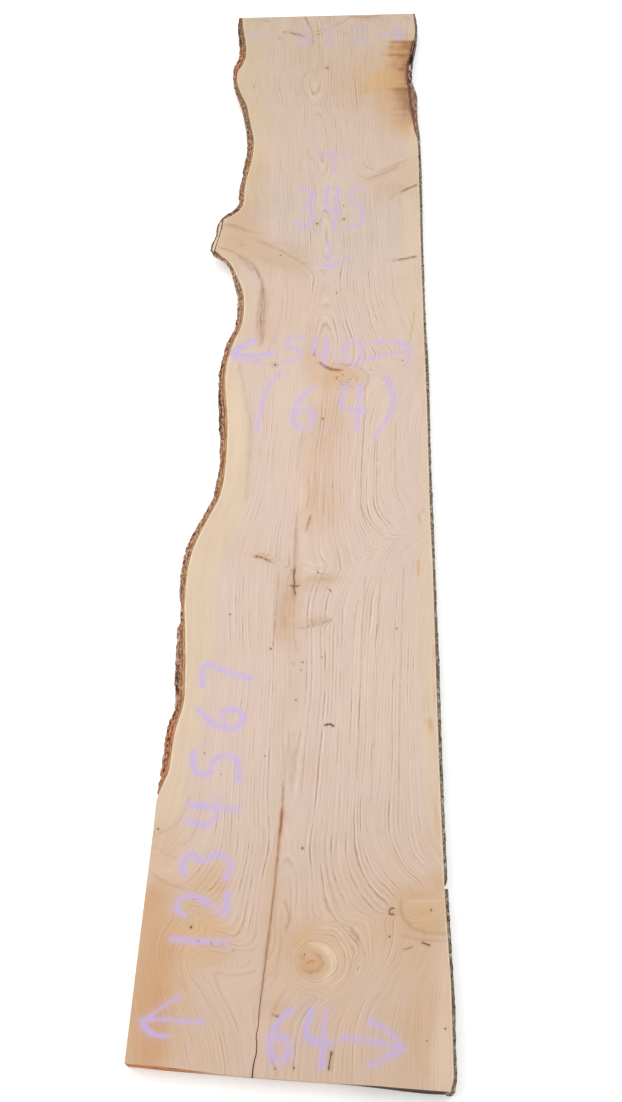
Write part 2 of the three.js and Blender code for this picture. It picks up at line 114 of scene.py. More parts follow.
RIGHT_BARK = [
  [-.96, 24.93], [0, 25.14], [2, 25.09], [5, 25.08], [7, 25.00], [10, 24.86], [13, 24.72], [15, 24.62], [20, 24.50],
  [25, 24.36], [30, 24.29], [35, 24.21], [40, 24.07], [45, 23.95], [50, 23.84], [55, 23.71], [60, 23.60], [65, 23.58],
  [70, 23.50], [75, 23.29], [80, 23.15], [85, 23.07], [90, 22.95], [95, 22.93], [100, 22.88], [104, 22.78],
  [106.7, 22.70], [108.6, 22.64], [110.5, 22.46], [112.4, 22.34], [114.3, 22.35], [116.3, 22.31], [117.3, 22.19],
  [118.3, 21.91], [119.5, 21.66], [121.3, 21.64], [123.4, 21.66], [124.5, 21.79], [126.6, 21.91], [128.1, 22.11],
  [129.6, 22.33], [131, 22.37], [132, 22.36], [133, 22.27], [134.74, 22.05]]
# the sawn face of the branch stub: y, depth, reach outwards, shift along y of its lower edge
STUB = [
  [86.9, .03, .0, .0], [87.55, .30, .36, .35], [88.2, .70, .56, .45], [89.2, .75, .60, .35], [90.45, .60, .46, .06],
  [90.6, .47, .36, .04], [91.4, .62, .46, 0], [92.1, .66, .52, 0], [92.7, .40, .38, .05], [93.0, .03, 0, 0]]
CHECK_LINE = [
  [9.84, -1.2], [9.86, -.62], [9.88, .02], [9.91, .41], [10.05, .98], [10.04, 1.78], [9.94, 2.19], [10.01, 2.92], [10.02, 3.41],
  [10.07, 4.65], [10.16, 5.98], [10.26, 7.71], [10.35, 9.4], [10.47, 11.5], [10.60, 13.3], [10.63, 15], [10.75, 18.5],
  [10.8, 20.3], [10.76, 22.4]]


# ------------------------------------------------------------------------------------------------ small tools
def table(t, y, col=1):
    t = np.array(t, float)
    return np.interp(y, t[:, 0], t[:, col])


def smooth_table(t, y, w, lo=-3., hi=138.):
    ys = np.arange(lo, hi + .01, .1)
    v = table(t, ys)
    n = int(4 * w / .1) + 1
    k = np.exp(-.5 * ((np.arange(-n, n + 1) * .1) / w) ** 2)
    k /= k.sum()
    v = np.convolve(np.concatenate([np.full(n, v[0]), v, np.full(n, v[-1])]), k, 'valid')
    return np.interp(y, ys, v)


def step(a, b, v):
    t = np.clip((v - a) / (b - a), 0, 1)
    return t * t * (3 - 2 * t)


def hashed(ix, iy, iz, seed):
    n = (ix * 374761393 + iy * 668265263 + iz * 1442695041 + seed * 1274126177) & 0xffffffff
    n = ((n ^ (n >> 13)) * 1274126177) & 0xffffffff
    n = ((n ^ (n >> 15)) * 2246822519) & 0xffffffff
    return ((n ^ (n >> 16)) & 0xffffff) / float(0xffffff)


def noise(x, y, z=0., seed=0):
    """Smooth value noise, -1 to 1."""
    x, y, z = np.broadcast_arrays(np.asarray(x, float), np.asarray(y, float), np.asarray(z, float))
    ix, iy, iz = (np.floor(v).astype(np.int64) for v in (x, y, z))
    fx, fy, fz = x - ix, y - iy, z - iz
    fx, fy, fz = (f * f * f * (f * (f * 6 - 15) + 10) for f in (fx, fy, fz))
    out = 0
    for dx in (0, 1):
        for dy in (0, 1):
            for dz in (0, 1):
                w = (fx if dx else 1 - fx) * (fy if dy else 1 - fy) * (fz if dz else 1 - fz)
                out = out + w * hashed(ix + dx, iy + dy, iz + dz, seed)
    return out * 2 - 1


def fbm(x, y, z=0., octaves=4, seed=0, gain=.5):
    total, amp, f, s = 0, 1., 1., 0.
    for k in range(octaves):
        total = total + amp * noise(np.asarray(x) * f, np.asarray(y) * f, np.asarray(z) * f, seed + k * 17)
        s += amp
        amp *= gain
        f *= 2.03
    return total / s


def plates(u, v, seed, jitter=.42):
    """Cells on a jittered grid: how near the border between two cells (0 at the border), and a value of each cell."""
    iu, iv = np.floor(u).astype(np.int64), np.floor(v).astype(np.int64)
    f1 = np.full(u.shape, 9.)
    f2 = np.full(u.shape, 9.)
    ident = np.zeros(u.shape)
    for du in (-1, 0, 1):
        for dv in (-1, 0, 1):
            cu, cv = iu + du, iv + dv
            px = cu + .5 + jitter * (2 * hashed(cu, cv, 3, seed) - 1)
            py = cv + .5 + jitter * (2 * hashed(cu, cv, 7, seed) - 1)
            d = np.hypot(px - u, py - v)
            new = d < f1
            f2 = np.where(new, f1, np.minimum(f2, d))
            ident = np.where(new, hashed(cu, cv, 11, seed), ident)
            f1 = np.where(new, d, f1)
    return f2 - f1, ident


def segments(x, y, pts):
    """Distance from points to a line of segments, and the length along the line to the nearest place."""
    best = np.full(x.shape, 1e9)
    at = np.zeros(x.shape)
    s0 = 0.
    pts = [tuple(map(float, p[:2])) for p in pts]
    for (ax, ay), (bx, by) in zip(pts[:-1], pts[1:]):
        length = math.hypot(bx - ax, by - ay)
        t = np.clip(((x - ax) * (bx - ax) + (y - ay) * (by - ay)) / length ** 2, 0, 1)
        d = np.hypot(x - ax - t * (bx - ax), y - ay - t * (by - ay))
        m = d < best
        best = np.where(m, d, best)
        at = np.where(m, s0 + t * length, at)
        s0 += length
    return best, at


def world(p):
    p = np.asarray(p, float)
    return np.stack([p[..., 0] * IN + X0, p[..., 1] * IN + Y0, p[..., 2] * IN + Z0], -1)


# ------------------------------------------------------------------------------------------------ the slab's sides
def left_wood(y):
    """The wood's left edge on the upper face, softened between its measured points but not at the sawn stub."""
    raw = table(LEFT_WOOD, y)
    soft = smooth_table(LEFT_WOOD, y, .28)
    keep = step(85.2, 86.4, y) * (1 - step(93.6, 94.6, y))
    return soft * (1 - keep) + raw * keep


def left_levels(y):
    """Four points of the side at each y: arris, lower edge of the sawn facet, middle, lower face."""
    x = left_wood(y)
    bare = step(8, 20.8, y)
    lean = -FLARE + (FLARE + LEAN - .08) * bare
    covered = np.clip((y - 20.8) / 2, 0, 1)
    xb = (1 - covered) * (x + lean) + covered * np.maximum(smooth_table(LEFT_BOTTOM, y, .3) + .42, x + .12)
    d, o, s = (table(STUB, y, c) for c in (1, 2, 3))
    inside = (y > 86.9) & (y < 93.0)
    d, o, s = np.where(inside, d, 0), np.where(inside, o, 0), np.where(inside, s, 0)
    near = (y > 84) & (y < 95.5)
    draw = np.where(near, np.sin(np.pi * np.clip((y - 84) / 11.5, 0, 1)), 0)
    t = MID / THICK
    xm = x + (xb - x) * (t + (1 - t) * draw * .72)
    ym = y + (90.2 - y) * .18 * draw
    yb = y + (90.2 - y) * .30 * draw
    zero = np.zeros_like(x)
    return [np.stack(p, -1) for p in ((x, y, zero), (x - o, y + s, -d), (xm, ym, zero - MID), (xb, yb, zero - THICK))], inside


def right_levels(y):
    x = smooth_table(RIGHT_WOOD, y, .35)
    x = np.where(y < .6, table(RIGHT_WOOD, y), x)
    zero = np.zeros_like(x)
    t = MID / THICK
    return [np.stack(p, -1) for p in ((x, y, zero), (x, y, zero), (x - LEAN_RIGHT * t, y, zero - MID),
                                      (x - LEAN_RIGHT, y, zero - THICK))]


def even(ys, xs, spacing, keep=()):
    """Places along a curve x(y), evenly spaced along its length, with the y values in keep among them."""
    s = np.concatenate([[0], np.cumsum(np.hypot(np.diff(ys), np.diff(xs)))])
    marks = [0.] + [float(np.interp(k, ys, s)) for k in keep if ys[0] < k < ys[-1]] + [s[-1]]
    out = []
    for a, b in zip(marks[:-1], marks[1:]):
        n = max(1, int(round((b - a) / spacing)))
        out += list(a + (b - a) * np.arange(n) / n)
    out.append(s[-1])
    return np.interp(out, s, ys)


# ------------------------------------------------------------------------------------------------ the wood's figure
# The trunk's rings as a field: A is the distance from the pith, and a growth ring is a place where A is constant. The
# pith runs just above the upper face, and each branch that meets the face draws the rings out along itself.
PITH = [[-2, 10.0], [0, 10.0], [4, 10.15], [8, 10.3], [12, 10.55], [15, 10.65], [20, 10.9], [25, 11.3], [30, 11.6],
  [35, 11.3], [42, 10.7], [50, 10.6], [57, 10.9], [62, 11.6], [68, 11.9], [76, 11.9], [82, 12.1], [88, 11.9], [95, 11.2],
  [100, 11.0], [105, 10.4], [112, 9.6], [116, 9.0], [120, 8.9], [127, 8.4], [131, 7.9], [134.5, 7.2], [137, 7.0]]
PITH_HEIGHT = [[-2, .15], [4, .15], [10, .25], [14, .6], [16.5, 1.5], [18, 1.4], [21, .9], [25, .75], [27, .6], [29, .45],
  [31, .3], [36, .3], [42, .1], [46, .15], [52, .45], [57, .25], [62, .3], [66, .5], [70, .3], [73, .35], [76, .75],
  [79, 1.2], [83, 1.7], [85, 1.5], [88, .9], [92, .8], [96, 1.4], [99, 1.6], [102, 1.0], [107, .6], [112, 1.0],
  [114.5, 1.6], [117, 1.2], [120, .9], [123, .65], [126, .4], [129, .2], [134, .2], [137, .2]]
RL, RR = 11.0, 12.0
# branches: their line from the pith outwards, the ring value at its start, growth along it, and growth across it
BRANCHES = [
  ([(11.6, 84.2), (8, 86.2), (4, 88.8), (-2.5, 90.3)], .9, .36, 2.1),
  ([(10.6, 10.5), (17, 10.6), (20.5, 12.0), (25, 12.3)], 1.2, .36, 2.9),
  ([(10.2, 7.0), (7, 9.0), (3.5, 11.5), (-1, 14.5)], 1.0, .34, 2.2),
  ([(10.7, 42.3), (13.5, 43.2), (16.5, 45.2), (19.5, 47.2), (24.2, 49.5)], .8, .42, 2.4),
  ([(11.9, 69.0), (14.5, 68.3), (17.5, 69.0), (20.5, 70.8), (23.5, 71.5)], .9, .42, 2.4),
  ([(11.2, 97.2), (14, 98.8), (17.5, 100.8), (20, 102.6), (23, 104.9)], 1.4, .36, 2.6),
  ([(11.2, 37.6), (14.6, 38.6)], .6, .45, 4.0),
  ([(10.6, 43.5), (8.4, 44.9), (6.6, 45.4)], .5, .5, 3.5),
  ([(11.9, 69.6), (9, 69.9), (6.9, 70.0), (3.5, 71.3)], .8, .55, 3.6),
  ([(8.2, 129.2), (6, 129.9), (3.2, 130.8)], .4, .5, 3.2),
  ([(8.1, 129.8), (10.5, 131.5), (13, 133.6), (15, 135.5)], .3, .4, 3.0),
  ([(14, 96.6), (19, 97.4), (23, 99.7)], 6.2, .45, 3.4),
  ([(18.2, 86.0), (22.8, 87.0)], 6.4, .75, 3.6),
]
# Lines of the figure: the first point is where the line would run undisturbed, the others are where it does run.
GUIDES = [
  [(17.15, 27), (17.1, 20), (17.35, 18), (17.75, 16), (18.2, 14.8), (18.9, 13.8), (19.9, 12.9)],
  [(18.4, 26), (18.05, 20), (18.3, 18), (18.8, 16.8), (19.4, 15.8), (20.0, 14.8), (20.9, 13.9)],
  [(20.65, 26), (20.7, 20), (20.95, 18.5), (21.3, 17), (21.7, 16), (22.3, 15.3), (23.2, 14.9)],
  [(16.2, 27), (16.3, 20), (16.4, 16), (16.5, 15.2), (17.0, 14.2), (17.4, 13.3), (17.9, 12.4), (18.6, 11.9)],
  [(15.2, 27), (15.25, 20), (15.3, 17), (15.5, 14.5), (16.2, 12.7), (16.7, 11.7), (17.4, 11.2), (18.3, 11.1)],
  [(14.2, 27), (14.0, 20), (14.0, 16), (14.0, 13), (14.2, 12), (14.8, 11.1), (15.4, 10.5), (16.5, 9.5), (17.3, 8.9)],
  [(13.3, 27), (13.3, 20), (13.2, 16), (13.15, 12.5), (13.1, 11.3)],
  [(16.1, -1), (16.3, 2), (16.5, 3.6), (16.9, 4.8), (17.6, 5.8), (18.6, 6.8)],
  [(17.2, -1), (17.2, 2.5), (17.6, 4.4), (18.5, 5.9), (19.3, 6.8), (20, 7.9)],
  [(18.3, -1), (18.3, 2.5), (18.8, 4.3), (19.5, 5.5), (20.2, 6.6), (20.9, 7.8)],
  [(20.3, -1), (20.4, 2.5), (20.8, 5), (21.5, 7.3), (22.2, 8.8)],
  [(12.7, -1), (12.8, 2.3), (13.3, 3.9), (14.1, 5.1), (15.3, 5.7), (16.6, 6.4), (17.6, 7.3)],
  [(14.0, -1), (14.1, 2.3), (14.6, 3.8), (15.6, 5.0), (16.8, 5.9)],
  [(4.0, 27), (4.0, 20), (3.7, 18.3), (3.2, 17.2), (2.4, 16.5)],
  [(6.3, 27), (6.4, 20), (6.4, 16.5), (6.1, 14.6), (5.5, 13.4)],
  [(7.5, 27), (7.6, 20), (7.6, 16), (7.3, 13.8), (6.9, 12.6)],
  [(8.1, 27), (8.2, 18), (8.15, 14), (7.9, 12), (7.5, 10.9), (6.9, 10.1)],
  [(8.7, 27), (8.8, 18), (8.85, 13), (8.7, 11), (8.35, 9.8), (7.7, 9.1)],
  [(9.2, 27), (9.4, 18), (9.4, 12), (9.3, 9.5)],
  [(9.0, -1), (8.5, 1.5), (8.0, 2.9), (7.3, 4.1), (6.3, 5.2), (5.3, 6.3)],
  [(7.7, -1), (7.2, 1.5), (6.6, 3), (5.8, 4.6), (4.8, 6.1), (3.9, 7.2)],
  [(9.6, -1), (9.3, 1.5), (8.9, 3), (8.4, 4.4), (7.8, 5.6)],
  [(5.3, -1), (4.5, 2), (3.6, 4), (2.7, 6), (1.7, 8)],
  [(2.6, -1), (2.0, 2), (1.3, 4.5), (.5, 7)],
  [(17.0, 62), (16.8, 55), (16.9, 51.5), (17.2, 50), (17.8, 48.9), (18.6, 47.8)],
  [(18.2, 62), (18.2, 55), (18.4, 51.8), (18.9, 50.3), (19.7, 49.1)],
  [(20.15, 62), (20.1, 56), (20.2, 54), (20.7, 52.5), (21.4, 51.3)],
  [(15.9, 62), (15.8, 55), (15.9, 52), (16.2, 50.2), (16.6, 49)],
  [(12.3, 58), (12.4, 53), (12.5, 50), (12.6, 47), (12.9, 45.2), (13.5, 44.5)],
  [(14.6, 60), (14.8, 54), (15.1, 50), (15.3, 48.4)],
  [(17.3, 31), (17.4, 36), (17.5, 39.5), (17.7, 41.5), (18.2, 43.5)],
  [(18.6, 31), (18.75, 36), (19.0, 42), (19.4, 44.5)],
  [(20.7, 31), (20.85, 38), (21.0, 41), (21.3, 45)],
  [(14.2, 31), (14.1, 35), (14.0, 38), (14.0, 40.5), (14.4, 42)],
  [(15.3, 86), (15.5, 80), (16.0, 77), (16.8, 74), (17.6, 72.3)],
  [(16.5, 86), (17, 80), (17.7, 76), (18.6, 73), (19.3, 71.8)],
  [(18.0, 88), (18.6, 80), (19.4, 76), (20.2, 74)],
  [(15.6, 112), (15.6, 108), (15.4, 105), (15.6, 103.4), (16.1, 102.5)],
  [(17.6, 113), (17.6, 108), (17.7, 105), (18.0, 103.6)],
]
# round knots: centre of the core, centre and half axes of its outermost ring, ring value there, share of the effect
KNOTS = [
  ((13.95, 7.75), (14.5, 8.1), (3.0, 2.75), 3.9, 1.),
  ((14.6, 68.2), (14.9, 68.1), (2.0, 1.7), 2.6, .8),
  ((6.9, 70.0), (6.9, 70.0), (.62, .6), 1.6, 1.),
  ((7.4, 7.4), (7.4, 7.5), (.8, .7), 1.3, .7),
  ((22.6, 11.9), (22.9, 12.0), (2.0, 1.7), 2.4, .55),
]


def bend_kernel(p, q):
    r2 = (p[:, None, 0] - q[None, :, 0]) ** 2 + (p[:, None, 1] - q[None, :, 1]) ** 2
    return np.where(r2 > 1e-9, .5 * r2 * np.log(np.maximum(r2, 1e-9)), 0)


class Figure:
    def __init__(self):
        self.w = None
        pts, off = [], []
        for g in GUIDES:
            g = np.array(g, float)
            u0 = self.lateral(g[:1, 0], g[:1, 1])[0]
            s = np.concatenate([[0], np.cumsum(np.hypot(*np.diff(g, axis=0).T))])
            q = np.linspace(0, s[-1], max(3, int(s[-1] / 1.4)))
            x, y = np.interp(q, s, g[:, 0]), np.interp(q, s, g[:, 1])
            pts += list(zip(x, y))
            off += list(x - self.unlateral(np.full(len(q), u0), y))
        pts, off = np.array(pts), np.array(off)
        rest = np.array([(a, b) for a in np.arange(-3, 29, 3.2) for b in np.arange(-6, 142, 5.0)])
        far = np.sqrt(((rest[:, None] - pts[None]) ** 2).sum(-1)).min(1) > 5.0
        pts = np.vstack([pts, rest[far]])
        off = np.concatenate([off, np.zeros(far.sum())])
        n = len(pts)
        m = np.zeros((n + 3, n + 3))
        m[:n, :n] = bend_kernel(pts, pts) + np.eye(n) * .35
        m[:n, n] = 1
        m[:n, n + 1:] = pts
        m[n, :n] = 1
        m[n + 1:, :n] = pts.T
        self.pts, self.w = pts, np.linalg.solve(m, np.concatenate([off, np.zeros(3)]))

    @staticmethod
    def edges(y):
        xl, xr = smooth_table(LEFT_WOOD, y, 1.2), smooth_table(RIGHT_WOOD, y, 1.2)
        m = np.clip((y - 82) / 3, 0, 1) * np.clip((98 - y) / 3, 0, 1)
        return xl * (1 - m) + m * 2.0, xr

    def lateral(self, x, y):
        xp = smooth_table(PITH, y, 2.0)
        xl, xr = self.edges(y)
        return np.where(x < xp, -(xp - x) / (xp - xl) * RL, (x - xp) / (xr - xp) * RR)

    def unlateral(self, u, y):
        xp = smooth_table(PITH, y, 2.0)
        xl, xr = self.edges(y)
        return np.where(u < 0, xp + u / RL * (xp - xl), xp + u / RR * (xr - xp))

    def bend(self, x, y):
        q = np.stack([x.ravel(), y.ravel()], 1)
        out = np.empty(len(q))
        n = len(self.pts)
        for i in range(0, len(q), 4000):
            c = q[i:i + 4000]
            out[i:i + 4000] = bend_kernel(c, self.pts) @ self.w[:n] + self.w[n] + c @ self.w[n + 1:]
        return out.reshape(x.shape)

    def __call__(self, x, y, z):
        h = smooth_table(PITH_HEIGHT, y, .8)
        u = self.lateral(x - self.bend(x, y), y)
        a = np.sqrt(u ** 2 + (h - z) ** 2)
        for line, c, along, across in BRANCHES:
            d, s = segments(x, y, line)
            d = np.sqrt(d ** 2 + z ** 2)
            b = c + along * s + across * np.sqrt(d ** 2 + .02)
            k = 1.6
            m = np.clip(.5 + .5 * (b - a) / k, 0, 1)
            a = b * (1 - m) + a * m - k * m * (1 - m)
        for core, centre, half, value, share in KNOTS:
            e = np.hypot((x - centre[0]) / half[0], (y - centre[1]) / half[1])
            cx = core[0] + (centre[0] - core[0]) * np.clip(e, 0, 1)
            cy = core[1] + (centre[1] - core[1]) * np.clip(e, 0, 1)
            wob = .05 * noise(x * .9, y * .9, 0, 91)
            e = np.hypot((x - cx) / half[0], (y - cy) / half[1]) * (1 + wob)
            inside = (1 - step(.86, 1.12, e)) * (1 - step(.25, 1.1, -z)) * share
            a = a * (1 - inside) + (.1 + value * e) * inside
        return a, u


figure = Figure()


# ------------------------------------------------------------------------------------------------ marks on the wood
# resin dots and small specks: x, y, radius
DOTS = [
  (11.4, 30.3, .060), (11.8, 34.1, .065), (9.0, 24.9, .050), (3.7, 25.0, .045), (12.7, 16.9, .085), (.45, 18.1, .070),
  (4.1, 10.15, .090), (4.8, 9.1, .085), (5.85, 8.95, .080), (13.3, 8.4, .055), (23.3, 12.25, .070), (20.0, 10.05, .060),
  (24.3, 3.4, .060), (22.9, 2.5, .040), (11.45, 3.75, .075), (11.55, .05, .060), (12.95, .15, .060), (6.75, 45.38, .075),
  (7.15, 45.3, .080), (7.65, 45.05, .060), (8.8, 35.4, .080), (4.72, 38.9, .065), (12.4, 62.6, .095),
  (20.35, 37.85, .055), (14.05, 41.75, .055), (12.75, 43.7, .050), (6.4, 86.9, .080), (6.15, 86.5, .040),
  (13.6, 93.1, .105), (10.45, 92.3, .110), (13.5, 95.5, .060), (11.12, 72.0, .070), (11.08, 71.5, .060), (4.2, 130.6, .090),
  (10.4, 122.5, .125), (7.6, 121.3, .060), (.85, 118.6, .065), (8.9, 130.1, .085), (8.25, 128.5, .080), (8.8, 130.75, .070),
  (8.1, 127.65, .055), (13.65, 68.15, .070), (13.75, 68.4, .055), (14.32, 68.7, .060), (14.8, 67.6, .060), (14.45, 67.3, .040),
  (15.1, 68.1, .040), (13.2, 80.9, .070), (6.9, 70.0, .115), (15.5, 133.9, .075), (16.9, 134.2, .070), (5.3, 23.1, .040),
  (9.2, 104.2, .045), (15.7, 117.5, .050), (12.1, 114.6, .050), (13.55, 34.7, .040), (11.7, 33.3, .040), (10.95, 33.9, .040),
  (1.5, 133.2, .050), (14.4, 120.2, .040), (3.5, 129.1, .060), (.95, 119.3, .045),
]
# cracks that open the face: line, half width, depth, how dark
CRACKS = [
  ([(10.50, 44.0), (10.47, 43.2), (10.58, 42.5), (10.55, 41.9), (10.74, 41.2)], .034, .09, .74),
  ([(10.66, 42.20), (10.82, 42.10), (11.05, 42.26)], .028, .05, .6),
  ([(10.52, 42.18), (10.38, 42.08), (10.18, 42.22)], .028, .05, .6),
  ([(14.12, 27.98), (14.4, 28.08), (14.62, 28.06), (14.85, 27.93)], .050, .08, 1.),
  ([(22.6, 9.68), (22.85, 9.6), (23.15, 9.5)], .040, .06, .9),
  ([(20.3, 12.28), (20.08, 12.25), (19.93, 12.02), (20.02, 11.8), (20.3, 11.78)], .035, .05, .8),
  ([(15.55, .15), (15.62, .8), (15.72, 1.4)], .035, .06, .9),
  ([(11.75, 70.45), (12.0, 70.1), (12.45, 69.78), (13.0, 69.5), (13.55, 69.38), (14.15, 69.36)], .13, .16, .12),
  ([(20.35, 86.42), (20.8, 86.48), (21.3, 86.6), (22.1, 86.85)], .045, .06, .55),
  ([(20.75, 98.25), (21.2, 98.62), (21.7, 98.85), (22.2, 99.2)], .045, .06, .55),
  ([(5.15, 130.35), (5.7, 130.12), (6.15, 130.12), (6.7, 129.75)], .050, .07, .7),
  ([(21.15, 9.1), (21.5, 9.2), (21.8, 9.35)], .025, .04, .35),
]
